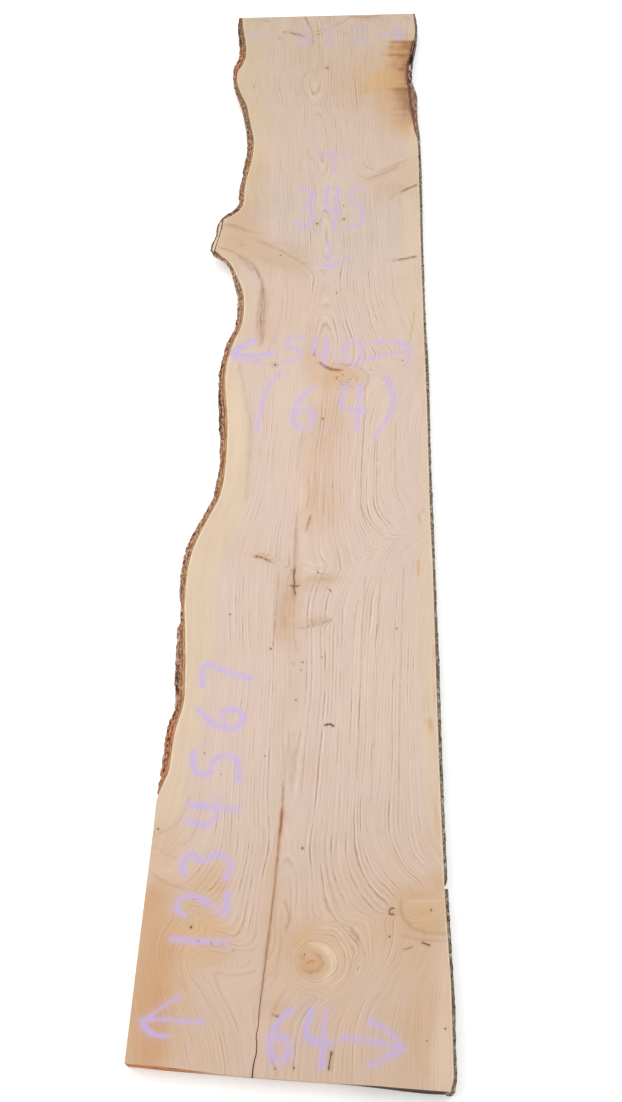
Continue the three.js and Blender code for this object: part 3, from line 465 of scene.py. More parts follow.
# drawn lines with no opening: line, half width, strength, kind (0 dark brown, 1 tan, 2 pale, 3 orange, 4 brown)
LINES = [
  (((9.02, 41.2), (8.95, 38.4), (9.0, 35.4)), .05, .42, 4),
  # beside the stub and the long streak below it
  ([(1.6, 86.6), (2.8, 85.5), (3.8, 84.2), (4.5, 82.8), (4.75, 81.2)], .16, .42, 4),
  ([(2.6, 86.2), (3.6, 84.9), (4.4, 83.2)], .10, .22, 4),
  ([(4.75, 81.5), (4.78, 79.6), (4.72, 78.2), (4.78, 77.0), (4.95, 75.6)], .10, .62, 4),
  ([(4.95, 75.6), (5.1, 74.2), (5.05, 72.6)], .10, .34, 4),
  ([(4.55, 82.2), (4.50, 80.2), (4.42, 77.6), (4.5, 75.5)], .07, .44, 4),
  ([(5.1, 79.6), (5.15, 77.0), (5.35, 74.5), (5.3, 72.9)], .07, .40, 4),
  ([(1.9, 86.9), (2.9, 85.9), (3.4, 85.2)], .10, .36, 4),
  ([(2.2, 85.6), (2.9, 84.8), (3.3, 84.1)], .10, .34, 4),
  ([(3.4, 85.4), (4.1, 84.0), (4.3, 83.0)], .13, .28, 4),
  ([(4.85, 82.4), (4.95, 79), (4.95, 76), (5.2, 72.6)], .48, .26, 4),
  ([(-.9, 92.1), (.4, 91.9), (1.4, 91.5), (2.3, 91.0)], .24, .36, 4),
  ([(.8, 91.2), (2.6, 90.9), (4.2, 90.6)], .16, .18, 4),
  ([(-1.1, 88.15), (-.2, 87.95), (.9, 87.4), (2.0, 86.4)], .13, .40, 4),
  ([(1.2, 88.9), (1.7, 88.5), (1.9, 88.0)], .28, .22, 4),
  ([(3.6, 89.3), (5.3, 88.5), (6.8, 87.4), (8.3, 86.2), (9.6, 85.2)], .22, .26, 4),
  ([(5.2, 89.6), (7.0, 89.0), (8.2, 87.4), (9.4, 86.0)], .55, .10, 4),
  ([(2.4, 87.4), (4.6, 86.4), (7.0, 85.2), (9.4, 84.6)], .60, .10, 4),
  # the heart's streaks
  ([(10.35, 50.4), (10.42, 47.5), (10.5, 44.0)], .13, .26, 4),
  ([(10.40, 49.8), (10.5, 46.5), (10.55, 43.8)], .34, .17, 4),
  ([(11.72, 50.35), (11.55, 49.4), (11.38, 48.4)], .10, .82, 4),
  ([(11.62, 50.2), (11.50, 49.3), (11.40, 48.5)], .26, .45, 1),
  ([(10.0, 34), (10.3, 41), (10.4, 47)], 1.15, .085, 4),
  ([(-1.1, 90.2), (1.2, 89.8), (3.4, 89)], 1.8, .060, 4),
  ([(3.0, 70), (4.2, 64.5), (4.9, 61.5), (5.1, 57), (5.15, 52)], .20, .20, 4),
  ([(11.25, 55.0), (11.42, 53.6), (11.46, 52.4), (11.3, 51.3)], .06, .50, 4),
  ([(12.0, 55.6), (12.1, 53.4), (12.0, 51.2)], .06, .34, 4),
  ([(12.9, 56.8), (13.0, 53.4), (12.95, 50.4)], .06, .30, 4),
  ([(10.4, 61), (10.2, 58.2), (10.0, 55.8)], .07, .26, 4),
  ([(10.8, 54.2), (10.6, 52.6), (10.7, 50.4)], .30, .42, 2),
  ([(9.0, 43.4), (8.92, 41.2), (9.1, 38.6), (9.0, 35.8)], .065, .34, 4),
  ([(9.65, 43.2), (9.8, 39.6), (9.6, 35.4)], .50, .15, 4),
  ([(10.7, 40.6), (10.65, 38.8), (10.85, 36.8), (11.2, 35.2)], .10, .30, 4),
  ([(11.0, 37.55), (12.0, 37.75), (13.2, 38.1), (14.3, 38.7)], .13, .36, 4),
  ([(11.2, 38.2), (12.8, 38.4), (14.6, 39.0)], .42, .20, 4),
  ([(10.9, 42.95), (12.3, 42.9), (13.6, 43.1), (15.4, 43.7)], .48, .22, 4),
  ([(11.2, 41.8), (12.6, 41.95), (14.2, 42.3)], .34, .13, 4),
  ([(12.6, 43.9), (13.0, 43.6), (13.7, 43.55)], .07, .55, 4),
  ([(13.75, 42.0), (13.95, 41.85), (14.15, 41.55)], .07, .6, 4),
  ([(11.4, 44.2), (12.2, 43.8), (13.0, 43.85)], .10, .6, 2),
  ([(11.6, 44.9), (12.4, 44.55), (13.3, 44.7)], .08, .55, 2),
  ([(12.95, 46.6), (13.05, 45.8), (13.4, 45.2)], .08, .6, 2),
  ([(10.45, 44.4), (10.52, 42.6), (10.62, 40.6)], .19, .50, 4),
  ([(10.2, 42.25), (10.6, 42.05), (11.1, 42.25)], .14, .40, 4),
  ([(6.5, 45.4), (7.3, 45.3), (8.2, 44.75)], .15, .72, 4),
  ([(6.9, 45.75), (7.7, 45.6), (8.2, 45.5)], .07, .26, 4),
  # far end
  ([(6.75, 134.3), (7.15, 133.1), (7.55, 131.9), (7.95, 130.8)], .10, .60, 4),
  ([(7.95, 130.8), (8.1, 129.6), (8.2, 128.4), (8.05, 127.2)], .09, .36, 4),
  ([(7.0, 134.3), (7.4, 133.0), (7.8, 131.9)], .24, .42, 1),
  ([(8.9, 130.8), (10.0, 131.3), (11.2, 132.1), (12.3, 133.0), (13.2, 134.1)], .07, .42, 4),
  ([(13.0, 134.2), (14.2, 134.0), (15.6, 133.95), (17, 134.3)], .18, .42, 4),
  ([(14.6, 133.4), (15.8, 133.3)], .10, .24, 4),
  ([(4.0, 130.7), (4.35, 130.55)], .10, .4, 4),
  ([(4.6, 130.7), (5.6, 130.15), (7.0, 129.5)], .22, .42, 4),
  ([(1.0, 133.6), (1.9, 133.0)], .18, .30, 4),
  ([(3.3, 129.2), (4.2, 129.0)], .10, .26, 4),
  ([(20.2, 134.0), (21.6, 133.4)], .14, .30, 4),
  ([(12.3, 129.9), (12.7, 130.4)], .10, .40, 4),
  # the knot at y 68 and its orange lip
  ([(13.0, 70.3), (14.5, 70.1), (16.0, 69.85), (16.9, 68.9), (17.1, 67.8), (16.5, 66.6)], .12, .26, 4),
  ([(16.75, 67), (16.7, 62), (16.65, 56), (16.7, 51.5), (17.2, 50), (18.0, 49), (18.8, 48.2)], .050, .46, 4),
  ([(18.15, 60), (18.15, 54), (18.3, 51.5), (18.9, 50.3), (19.6, 49.5)], .050, .42, 4),
  ([(20.05, 62.5), (20.0, 58), (20.05, 54), (20.5, 52.3), (21.2, 51)], .048, .36, 4),
  ([(15.95, 61), (15.9, 55), (16.0, 51)], .10, .50, 2),
  ([(17.3, 43.5), (17.2, 38), (17.15, 30), (17.1, 23)], .046, .34, 4),
  ([(18.75, 43.5), (18.6, 36), (18.5, 28), (18.3, 21)], .046, .30, 4),
  ([(20.95, 44.5), (20.75, 36), (20.65, 28), (20.6, 19)], .048, .40, 4),
  ([(16.95, 40), (16.85, 33), (16.8, 26)], .08, .42, 2),
  ([(14.2, 67.2), (15.0, 67.1), (15.5, 66.9)], .09, .30, 4),
  ([(13.9, 67.9), (14.3, 67.4), (14.9, 67.4)], .12, .26, 4),
  ([(15.2, 69.0), (15.8, 68.4), (15.8, 67.6)], .10, .22, 4),
  ([(11.75, 70.4), (12.4, 69.8), (13.2, 69.42), (14.1, 69.35)], .21, 1., 5),
  ([(11.9, 70.0), (12.4, 69.6), (13.0, 69.25), (14.0, 69.15)], .08, .45, 4),
  ([(11.1, 72.25), (11.08, 71.35)], .11, .55, 4),
  ([(6.55, 70.3), (6.9, 70.42), (7.25, 70.15), (7.22, 69.8), (6.9, 69.6), (6.55, 69.8), (6.55, 70.3)], .08, .32, 4),
  ([(6.3, 70.9), (7.2, 71.3), (8.2, 71.9)], .14, .20, 1),
  # the branch across the upper right
  ([(14.4, 99.7), (16.0, 100.1), (17.6, 101.0), (19.3, 102.2), (21.2, 103.6)], .60, .34, 1),
  ([(16.2, 100.2), (18, 101.2), (20, 102.6)], .18, .24, 4),
  ([(15.55, 103.6), (15.85, 102.8), (16.4, 102.3), (17.1, 102.0)], .06, .52, 4),
  ([(14.9, 101.6), (15.4, 100.9), (16.2, 100.4)], .10, .22, 4),
  ([(17.4, 101.5), (19.3, 102.7), (21.0, 104.0)], .12, .24, 4),
  ([(18.4, 98.6), (20.2, 98.9), (22.2, 100.0)], .50, .30, 1),
  ([(18.9, 96.6), (19.6, 97.6), (20.6, 98.2)], .10, .24, 4),
  ([(20.4, 98.0), (21.3, 98.6), (22.4, 99.4)], .20, .55, 4),
  ([(19.6, 86.15), (20.8, 86.4), (22.3, 86.9)], .20, .50, 4),
  ([(18.6, 86.0), (20.3, 86.3)], .26, .32, 1),
  # right margin
  ([(22.35, 45.4), (22.32, 44.6), (22.38, 43.6)], .13, .90, 1),
  ([(22.0, 78.2), (21.75, 75.8), (21.4, 73.4)], .10, .85, 1),
  ([(22.05, 79.6), (22.0, 78.4)], .07, .45, 1),
  ([(23.75, 36.4), (23.7, 34.6)], .12, .75, 1),
  ([(23.7, 32.2), (23.75, 30.6)], .10, .6, 1),
  ([(23.3, 29.0), (23.4, 28.2), (23.45, 27.4)], .20, .75, 3),
  ([(22.7, 28.8), (23.6, 28.5)], .16, .5, 1),
  ([(22.9, 66.4), (22.9, 63.2)], .10, .5, 1),
  ([(23.75, 23), (23.85, 18.5)], .22, .35, 1),
  ([(22.9, 51.4), (22.4, 50.6), (22.6, 49.5)], .08, .30, 4),
  # the wide end
  ([(20, 13.15), (21.4, 13.5), (22.8, 13.55), (24.3, 13.7)], .40, .55, 1),
  ([(20.8, 12.6), (21.0, 11.7), (21.6, 10.9), (22.8, 10.5), (24.4, 10.55)], .22, .52, 1),
  ([(20.9, 12.9), (20.85, 12.2), (21.2, 11.4), (21.8, 10.8), (22.9, 10.45), (24.4, 10.4)], .12, .30, 4),
  ([(21.3, 12.2), (21.9, 11.3), (23.2, 11.0), (24.3, 11.1)], .12, .30, 1),
  ([(20.9, 10.2), (22.4, 9.9), (24.5, 9.9)], .12, .22, 4),
  ([(21.4, 12.9), (22.8, 12.95), (24.2, 13.0)], .10, .35, 2),
  ([(10.66, 17.6), (10.78, 18.6), (10.80, 20.2)], .17, .95, 5),
  ([(10.70, 18.0), (10.78, 18.9), (10.80, 20.2)], .06, .55, 0),
  ([(10.8, 20.4), (10.80, 21.4), (10.76, 22.6)], .09, .50, 4),
  ([(10.76, 22.6), (10.9, 24.2), (10.85, 26)], .09, .20, 4),
  ([(10.25, 8.0), (10.42, 9.8), (10.5, 11.5), (10.60, 13.4), (10.62, 15.4)], .13, .50, 4),
  ([(10.05, 4.2), (10.16, 6), (10.28, 8.2)], .10, .40, 4),
  ([(10.62, 15.2), (10.7, 16.4), (10.68, 17.6)], .12, .62, 4),
  ([(11.5, 12.5), (11.85, 11.6), (11.95, 10.9), (11.7, 10.2)], .12, .42, 4),
  ([(11.5, 9.9), (11.35, 8.8), (11.15, 7.4)], .07, .26, 4),
  ([(11.9, 10.9), (12.1, 12.2)], .16, .26, 1),
  ([(9.75, 3.2), (9.6, 4.4)], .10, .18, 4),
  ([(13.35, 7.2), (13.9, 7.05), (14.5, 7.3), (14.75, 7.8), (14.45, 8.35), (13.9, 8.55)], .12, .50, 4),
  ([(13.5, 7.7), (13.9, 7.95), (14.3, 7.95)], .09, .48, 4),
  ([(13.0, 8.3), (13.4, 8.0)], .08, .35, 4),
  ([(14.9, 9.0), (15.55, 8.3), (15.6, 7.3), (14.9, 6.5)], .20, .75, 2),
  ([(13.6, 9.3), (14.6, 9.1), (15.3, 8.6)], .08, .65, 2),
  ([(16.1, 9.4), (17.0, 8.4), (16.6, 7.0), (15.6, 6.1)], .10, .45, 2),
  ([(12.0, 8.6), (12.6, 9.7), (13.8, 10.5)], .16, .4, 1),
  ([(5.9, 13.2), (6.3, 13.5), (6.4, 14.1)], .22, .45, 1),
  ([(0.1, 14.6), (1.0, 13.9), (2.2, 13.4), (3.2, 13.2)], .10, .24, 4),
  ([(.2, 17.6), (1.0, 17.9), (1.9, 18.5), (2.5, 19.6), (2.85, 21.0)], .09, .26, 4),
  ([(2.7, 16.8), (3.3, 17.4), (3.7, 18.4), (3.95, 20)], .08, .28, 4),
  ([(.3, 16.6), (1.4, 15.9), (2.6, 15.6)], .08, .18, 4),
  ([(11.2, .95), (11.3, .5), (11.55, .1)], .10, .42, 4),
  ([(11.7, .0), (11.72, -.5)], .07, .40, 4),
  ([(12.85, .55), (12.95, .05)], .07, .40, 4),
  ([(11.0, 3.9), (11.4, 3.72), (11.7, 3.8)], .10, .45, 4),
  ([(3.6, 7.2), (3.9, 6.0), (4.5, 4.9)], .07, .22, 4),
  ([(8.2, 116.4), (7.6, 117.4), (7.2, 119)], .10, .18, 4),
  ([(7.6, 121.3), (7.35, 120.5)], .08, .40, 4),
  ([(.9, 119), (1.0, 117.9)], .09, .42, 4),
]
# soft tinted places: centre, half axes, turn in degrees, strength, kind (1 tan, 2 pale, 3 orange, 4 pink, 6 golden)
PATCHES = [
  # wide end, left
  (.8, 4.6, 2.9, 7.6, 0, .74, 1), (1.6, 5.2, 1.9, 4.6, -8, .50, 3), (2.1, .9, 1.4, 2.2, 0, .62, 3), (1.4, 9.2, 1.8, 3.0, 8, .46, 3), (2.4, 4.6, 1.2, 1.8, -8, .34, 3),
  (.6, 12.2, 1.5, 1.9, 0, .56, 3), (1.9, 12.5, 2.5, 1.3, -10, .42, 1), (4.9, 9.5, 2.4, 2.3, 0, .56, 1), (5.3, 13.9, 1.7, 2.1, 0, .44, 1), (4.7, 9.4, 2.2, 2.1, 0, .46, 6), (5.3, 14.0, 1.5, 1.9, 0, .34, 6),
  (6.3, 13.6, .6, .6, 0, .30, 1), (.9, 16.6, 2.2, 2.9, 0, .40, 1), (6.3, 8.6, 1.5, 1.9, 0, .30, 1), (2.6, 15.9, 1.4, 1.3, 0, .16, 4),
  # wide end, middle and right
  (13.2, 9.3, 1.7, 1.6, 0, .40, 1), (14.0, 7.75, 1.30, .92, 0, .80, 1), (13.75, 7.6, .95, .70, 0, .50, 3), (14.35, 8.1, .60, .50, 0, .34, 4), (13.5, 7.3, .55, .40, 0, .30, 3), (12.9, 9.35, .95, .70, 20, .34, 6), (13.6, 9.9, .60, .50, 0, .22, 6),
  (14.9, 8.95, .85, .36, -22, .42, 2), (15.6, 8.1, .45, .80, 0, .26, 2), (24.0, 1.2, .80, 3.0, 0, .50, 2), (22.95, .3, .22, .90, 0, .40, 3), (22.3, 2.6, 1.5, 2.6, 0, .26, 1),
  (21.1, 109.7, .85, 1.7, 0, .42, 6), (21.8, 109.7, .35, 1.5, 0, .40, 2), (20.8, 129.6, 1.4, 1.2, 0, .30, 1), (20.2, 132.4, 1.6, 1.6, 0, .20, 6),
  (9.9, 38.6, .9, 3.2, 0, .30, 1), (9.6, 38.4, .6, 3.0, 0, .22, 6), (13.6, 43.0, 2.9, .42, 6, .34, 1), (13.0, 38.3, 2.0, .35, 6, .24, 1),
  (22.9, 34.5, .7, 9.0, 0, .18, 6), (22.6, 44.4, .20, .9, 0, .40, 6), (23.4, 28.0, .26, .8, 0, .40, 6),
 (13.6, 8.4, 3.2, 3.0, 0, .18, 1),
  (22.8, 11.9, 2.5, 1.8, 0, .50, 1), (23.0, 12.0, 2.3, 1.6, 0, .34, 6), (24.0, 14.5, .8, 1.3, 0, .55, 1), (22.6, 14.4, 2.0, .8, 12, .30, 1),
  (20.6, 10.8, 3.0, 3.0, 0, .24, 1), (22.6, 4.0, 1.8, 5.4, 0, .26, 1), (24.35, 4.5, .40, 5.5, 0, .32, 2), (23.2, 17.6, 1.3, 2.2, 0, .16, 1),
  (11.3, 4.2, .8, .8, 0, .40, 1), (10.5, 13, .9, 5, 2, .26, 1), (11.0, 9.0, 1.0, 3.0, 0, .20, 1), (16.0, 8.6, 2.0, 2.6, 0, .10, 1),
  # heart and margins up to the middle
  (10.9, 30, 1.2, 9.5, 0, .22, 1), (10.4, 40.6, 1.4, 4.6, 0, .24, 1), (12.6, 42.7, 2.4, 1.0, 5, .20, 1), (13.2, 38.3, 1.7, .7, 12, .18, 1),
  (13.4, 24, 1.3, 1.6, 0, .22, 1), (7.3, 45.3, 1.3, .7, -10, .42, 1), (5.2, 46.6, 3.6, 2.6, 0, .20, 1), (15.6, 45.4, 2.4, 1.8, 10, .14, 1),
  (12.4, 50.4, 2.9, 3.4, 0, .32, 1), (12.9, 56.6, 3.1, 7.4, 0, .32, 1), (13.1, 63.6, 2.0, 5.4, 0, .38, 1), (11.3, 58.0, 1.4, 5.6, 0, .16, 1),
  (13.0, 68.2, 2.9, 2.1, 0, .48, 1), (15.0, 68.3, 2.1, 1.8, 0, .44, 1), (10.9, 70.8, 1.9, 2.4, 0, .42, 1), (12.6, 69.9, 1.3, .9, 0, .14, 3), (15.2, 68.0, 1.6, 1.3, 0, .18, 6),
  (3.4, 61.5, 1.0, 6.5, 4, .34, 2), (8.4, 64.5, 1.8, 8.5, 0, .16, 2), (18.4, 58, 2.6, 8.0, 0, .14, 2), (17.4, 66, 2.4, 2.6, 0, .14, 2),
  (22.6, 57, .9, 9.0, 0, .18, 4), (22.8, 70, .9, 4.0, 0, .20, 1), (19.2, 78, 2.6, 6.0, 0, .12, 2),
  # around the stub
  (4.9, 78, .85, 5.8, 0, .26, 1), (8.0, 79, 2.2, 6.0, 0, .16, 1), (5.9, 74.4, 1.5, 2.6, 0, .26, 1), (10.9, 74, 1.3, 2.8, 0, .22, 1), (11.6, 79, 1.2, 5.0, 0, .14, 1),
  (1.2, 89.8, 3.8, 4.0, 0, .46, 1), (.9, 94.2, 2.2, 2.9, 0, .52, 1), (4.6, 86.8, 4.6, 3.4, -18, .40, 1), (8.4, 86.0, 2.3, 2.2, 0, .24, 1),
  (2.2, 99.5, 1.7, 5.0, 0, .30, 1), (2.9, 102.2, 1.1, 2.6, 0, .22, 1), (1.9, 88.6, .5, .4, 0, .30, 1), (13.6, 93.1, .6, .6, 0, .28, 1),
  (10.5, 92.2, .7, .9, 0, .30, 1), (3.4, 95.4, 2.0, 3.6, 0, .16, 1),
  # broad, faint differences
  (19.6, 31.5, 4.2, 10.5, 0, .17, 2), (17.5, 12.4, 5.6, 6.6, 0, .15, 1), (22.0, 11.0, 2.6, 5.0, 0, .14, 1), (3.0, 9.9, 1.6, 2.4, 0, .28, 1),
  (3.0, 1.8, 1.7, 2.4, 0, .38, 1), (10.2, 41.0, 1.7, 6.0, 0, .16, 1), (7.6, 37.5, 2.2, 4.0, 0, .12, 1),
  # upper right branch
  (19.8, 98.4, 3.0, 1.9, 12, .26, 1), (20.6, 102.2, 2.4, 1.9, 20, .30, 1), (17.6, 105.6, 2.8, 3.0, 0, .30, 4), (21.6, 106.4, 1.0, 2.0, 0, .25, 2),
  (10.5, 106.5, 3.4, 4.2, 0, .22, 4), (21.6, 92, 1.0, 5.6, 0, .24, 2), (12.4, 98.8, 1.1, 2.6, 8, .26, 2),
  # far third
  (20.2, 116.6, 3.9, 10.4, 0, .50, 1), (17.2, 119.4, 3.8, 6.8, 0, .34, 1), (19.6, 118.2, 2.2, 7.0, 0, .26, 3), (20.4, 124.8, 1.6, 4.0, 0, .40, 3),
  (19.0, 120.0, 2.9, 2.4, 0, .72, 6), (17.0, 119.5, 2.6, 3.2, 0, .36, 6), (20.4, 110.4, 1.4, 2.2, 0, .46, 6), (21.3, 108.6, .8, .8, 0, .40, 6),
  (18.6, 98.0, 4.2, 3.2, 8, .16, 1), (13.4, 118.6, 3.8, 7.5, 0, .22, 1),
  (.9, 113.6, 1.2, 4.4, -18, .24, 1), (3.0, 113.0, 1.1, 3.4, 0, .12, 1), (9.2, 124.4, 2.2, 4.0, 0, .14, 1), (.0, 125.4, 1.6, 2.4, 0, .16, 1),
  (8.3, 129.6, 1.0, 2.2, 0, .38, 1), (5.6, 130.1, 1.8, 1.0, -15, .34, 1), (10.4, 122.5, .55, .6, 0, .40, 1), (1.5, 133.3, .9, .6, 0, .30, 1),
  (15.2, 133.6, 2.6, .9, 0, .26, 1), (5.2, 119.6, 2.8, 3.6, 0, .18, 4), (5.0, 124.4, 1.6, 1.8, 0, .20, 4), (8.2, 112.4, 3.0, 2.2, 0, .20, 4),
]
SAP_LEFT = [[-1, -2], [17.2, -2], [17.9, 1.0], [18.9, 2.1], [20, 2.5], [21.2, 2.8], [25, 3.0], [30, 3.3], [34, 3.4], [36, 3.2], [40, 3.0],
  [43, 3.0], [46, 3.3], [47.5, 4.3], [49.5, 5.0], [52, 5.3], [57, 5.4], [61, 5.0], [63, 4.4], [65, 4.0], [68, 3.3], [70, 3.0],
  [73, 3.5], [76, 3.7], [80, 3.4], [82, 2.8], [85, .6], [93, .4], [98, 3.3], [103, 3.6], [107, 4.0], [112, 3.2], [116, 2.0],
  [119, 1.2], [124, 1.6], [128, 1.2], [134, .4]]
SAP_RIGHT = [[-1, 25.5], [8, 25.2], [15, 24.2], [18, 22.9], [30, 22.4], [45, 22.4], [60, 22.7], [72, 22.4], [78, 21.7], [81, 21.2],
  [84, 20.6], [88, 20.3], [98, 20.5], [104, 21.2], [108, 21.5], [134, 21.5]]
# an even tan wash, by y, and where the rings are drawn strongly: centre, half axes, strength
TAN_WASH = [[-1, .44], [6, .42], [10, .36], [14, .24], [18, .18], [24, .09], [30, .05], [44, .06], [60, .05], [72, .08], [78, .12], [96, .14], [104, .11],
  [110, .10], [120, .16], [126, .16], [129, .02], [134, .10]]
DRAWN = [
  (8.2, 16.5, 2.4, 8.5, .80), (5.6, 18.5, 1.6, 3.6, .55), (16.6, 16.5, 4.3, 6.5, .85), (15.5, 9.5, 4.0, 3.4, .60), (13.6, 2.4, 7.0, 3.8, .52), (1.6, 6.0, 2.4, 6.0, .38), (20.6, 6.0, 3.4, 4.6, .50), (20.6, 31, 2.6, 13, .78), (20.7, 65, 2.2, 14, .60),
  (20.9, 17, 2.6, 5.0, .74), (20.6, 46, 2.2, 5, .70), (13.4, 31.5, 2.4, 5.5, .80), (12.6, 40, 2.0, 5.5, .74), (19.6, 92, 2.6, 6.5, .46), (5.6, 62, 2.0, 14, .50),
  (5.6, 36, 2.0, 12, .46), (13.0, 62.5, 3.0, 6.0, .62), (20.4, 80, 2.2, 7, .52), (9.6, 46, 2.4, 5, .60), (6.6, 98, 3, 10, .44), (7.4, 122, 2.4, 8, .60),
  (7.0, 2.8, 3.6, 3.8, .38), (17.9, 29, 3.6, 9.0, .72), (13.4, 25, 2.4, 6.0, .72), (12.2, 26, 1.6, 4.6, .50), (14.1, 36.8, 2.4, 4.6, .95),
  (8.4, 28, 2.2, 8.0, .45), (18.4, 38.5, 3.2, 5.6, .66), (17.6, 54.5, 2.2, 7.5, .90), (13.4, 54, 2.8, 7.0, .50), (20.9, 53, 2.2, 4.6, .42),
  (8.3, 60, 2.4, 12, .34), (17.2, 66.5, 3.0, 5.0, .55), (17.0, 74, 3.8, 5.0, .78), (14.0, 80.5, 6.6, 6.5, .70), (7.0, 78, 2.6, 5.5, .40),
  (12.0, 92, 4.5, 7.0, .50), (17.5, 92, 3.0, 5.0, .45), (8.0, 102.4, 4.8, 4.2, .62), (14.5, 104.0, 2.6, 4.2, .40), (12.0, 110, 5.0, 5.0, .34),
  (9.2, 118.6, 3.6, 8.0, .60), (13.6, 119.0, 3.0, 7.0, .50), (4.6, 121, 3.0, 7.0, .42), (11.0, 131, 4.0, 4.0, .62), (15.6, 130, 4.0, 4.6, .42),
  (5.2, 12.6, 2.0, 3.0, .35), (3.0, 15.6, 2.6, 2.0, .30), (22.2, 12.0, 2.4, 2.6, .40), (15.6, 46.0, 3.0, 2.0, .45),
]

# ------------------------------------------------------------------------------------------------ chalk
# Lilac marking chalk: arrows at the places measured, plain sizes in centimetres between them, and a plain count along the left.
FIGURES = {
  '0': [[(.5, 1), (.16, .86), (0, .5), (.12, .13), (.5, 0), (.88, .15), (1, .5), (.85, .87), (.52, 1)]],
  '1': [[(.55, 1), (.5, .5), (.47, 0)]],
  '2': [[(.05, .82), (.3, 1), (.75, .97), (.92, .72), (.6, .38), (.05, .02), (.98, .06)]],
  '3': [[(.1, .92), (.5, 1), (.86, .82), (.5, .56), (.92, .34), (.7, .05), (.3, 0), (.02, .14)]],
  '4': [[(.28, 1), (.06, .44), (.98, .42)], [(.76, .98), (.70, 0)]],
  '5': [[(.92, 1), (.24, .97), (.16, .58), (.6, .62), (.94, .36), (.7, .05), (.08, .03)]],
  '6': [[(.82, 1), (.36, .76), (.08, .32), (.34, .02), (.8, .08), (.9, .38), (.52, .52), (.14, .34)]],
  '7': [[(.03, .96), (.5, .99), (.98, .99), (.62, .5), (.40, 0)]],
}


def figures(text, places):
    out = []
    for ch, (x0, y0, x1, y1) in zip(text, places):
        for line in FIGURES[ch]:
            out.append([(x0 + (x1 - x0) * u, y0 + (y1 - y0) * v) for u, v in line])
    return out


def lying(text, places):
    """Figures written along the slab, their tops towards the left edge."""
    out = []
    for ch, (y0, y1) in zip(text, places):
        for line in FIGURES[ch]:
            out.append([(7.0 - 4.3 * v, y0 + (y1 - y0) * u) for u, v in line])
    return out


def rounded(line, n=3):
    """Corner cutting, so that a stroke is drawn in one sweep."""
    p = np.array(line, float)
    for _ in range(n):
        q = [p[0]]
        for a, b in zip(p[:-1], p[1:]):
            q += [a * .75 + b * .25, a * .25 + b * .75]
        q.append(p[-1])
        p = np.array(q)
    return p


CHALK = []                                                     # (line, half width, strength)
for _line, _w, _s in (
    [([(3.7, 4.9), (2.2, 3.8), (1.05, 2.9)], .21, .92), ([(1.05, 2.9), (1.5, 2.3), (2.3, 1.95), (3.4, 1.95)], .24, .95),
     ([(1.2, 2.95), (2.6, 3.2), (4.2, 3.05), (5.8, 3.1)], .20, .88),
     ([(16.5, 2.4), (18.8, 2.35), (21.2, 1.8)], .25, .80), ([(18.6, 3.7), (19.9, 3.1), (20.9, 2.3)], .27, .95),
     ([(21.2, 1.8), (19.9, 1.2), (18.8, .6)], .24, .90)]
    + [(f, .28, .95) for f in figures('64', [(10.7, .4, 12.8, 4.2), (13.4, .4, 15.7, 4.3)])]
    + [([(2.0, 71.6), (3.0, 72.7), (4.2, 73.3)], .44, .92), ([(2.1, 71.3), (4.0, 71.2), (6.3, 71.6)], .38, .85),
       ([(2.6, 70.7), (3.9, 70.6), (5.0, 70.4)], .36, .6)]
    + [([(16.7, 70.9), (18.6, 71.6), (21.4, 72.2)], .28, .80), ([(17.6, 73.4), (19.4, 73.8), (21.4, 72.9)], .28, .80),
       ([(21.5, 72.6), (21.3, 71.6), (21.3, 70.4)], .27, .78)]
    + [(f, .27, .80) for f in figures('540', [(7.6, 70.3, 9.9, 74.1), (10.6, 70.1, 12.9, 74.0), (14.3, 70.1, 16.4, 73.9)])]
    + [([(13.6, 70.3), (13.65, 70.35)], .24, .6)]
    + [([(7.6, 69.1), (6.3, 66.8), (5.7, 64.2), (5.6, 60.8)], .25, .75), ([(18.9, 68.4), (19.8, 66.4), (19.6, 63.4), (17.9, 60.4)], .27, .78)]
    + [(f, .28, .85) for f in figures('64', [(8.8, 61.0, 11.9, 67.0), (13.8, 61.0, 17.0, 67.4)])]
    + [([(12.9, 61.3), (12.95, 61.35)], .28, .7)]
    + [(f, .26, .80) for f in figures('345', [(8.0, 91.6, 10.1, 98.6), (10.9, 91.4, 13.2, 98.8), (13.9, 91.5, 16.1, 98.9)])]
    + [([(12.1, 101.6), (11.9, 103.4), (11.7, 105.2)], .26, .65), ([(9.9, 104.0), (10.9, 105.0), (11.7, 105.3)], .24, .6),
       ([(11.7, 105.3), (12.6, 105.0), (13.5, 104.3)], .24, .6)]
    + [([(12.0, 89.5), (12.05, 87.2), (12.1, 84.9)], .25, .7), ([(10.2, 86.0), (11.1, 85.2), (12.0, 84.8)], .24, .6),
       ([(12.1, 84.8), (13.3, 85.8), (14.6, 86.8)], .24, .65)]
    + [([(-.2, 129.4), (.4, 129.5), (1.2, 129.4)], .34, .55), ([(17.6, 129.8), (19.0, 129.7), (20.4, 129.8)], .30, .6),
       ([(19.0, 131.5), (20.0, 130.9), (20.4, 129.9), (19.7, 128.6)], .30, .6)]
    + [(f, .26, .5) for f in figures('612', [(5.9, 127.6, 8.0, 131.9), (9.6, 127.6, 11.2, 131.8), (13.2, 127.8, 15.6, 131.9)])]
    + [([(12.0, 128.0), (12.05, 128.05)], .28, .5)]
    + [(f, .29, .90) for f in lying('1234567', [(8.7, 9.5), (10.9, 12.9), (14.1, 16.5), (18.2, 20.9), (22.5, 25.3), (27.0, 29.7),
                                                (31.3, 33.9)])]):
    CHALK.append((rounded(_line) if len(_line) > 2 else np.array(_line, float), _w, _s))


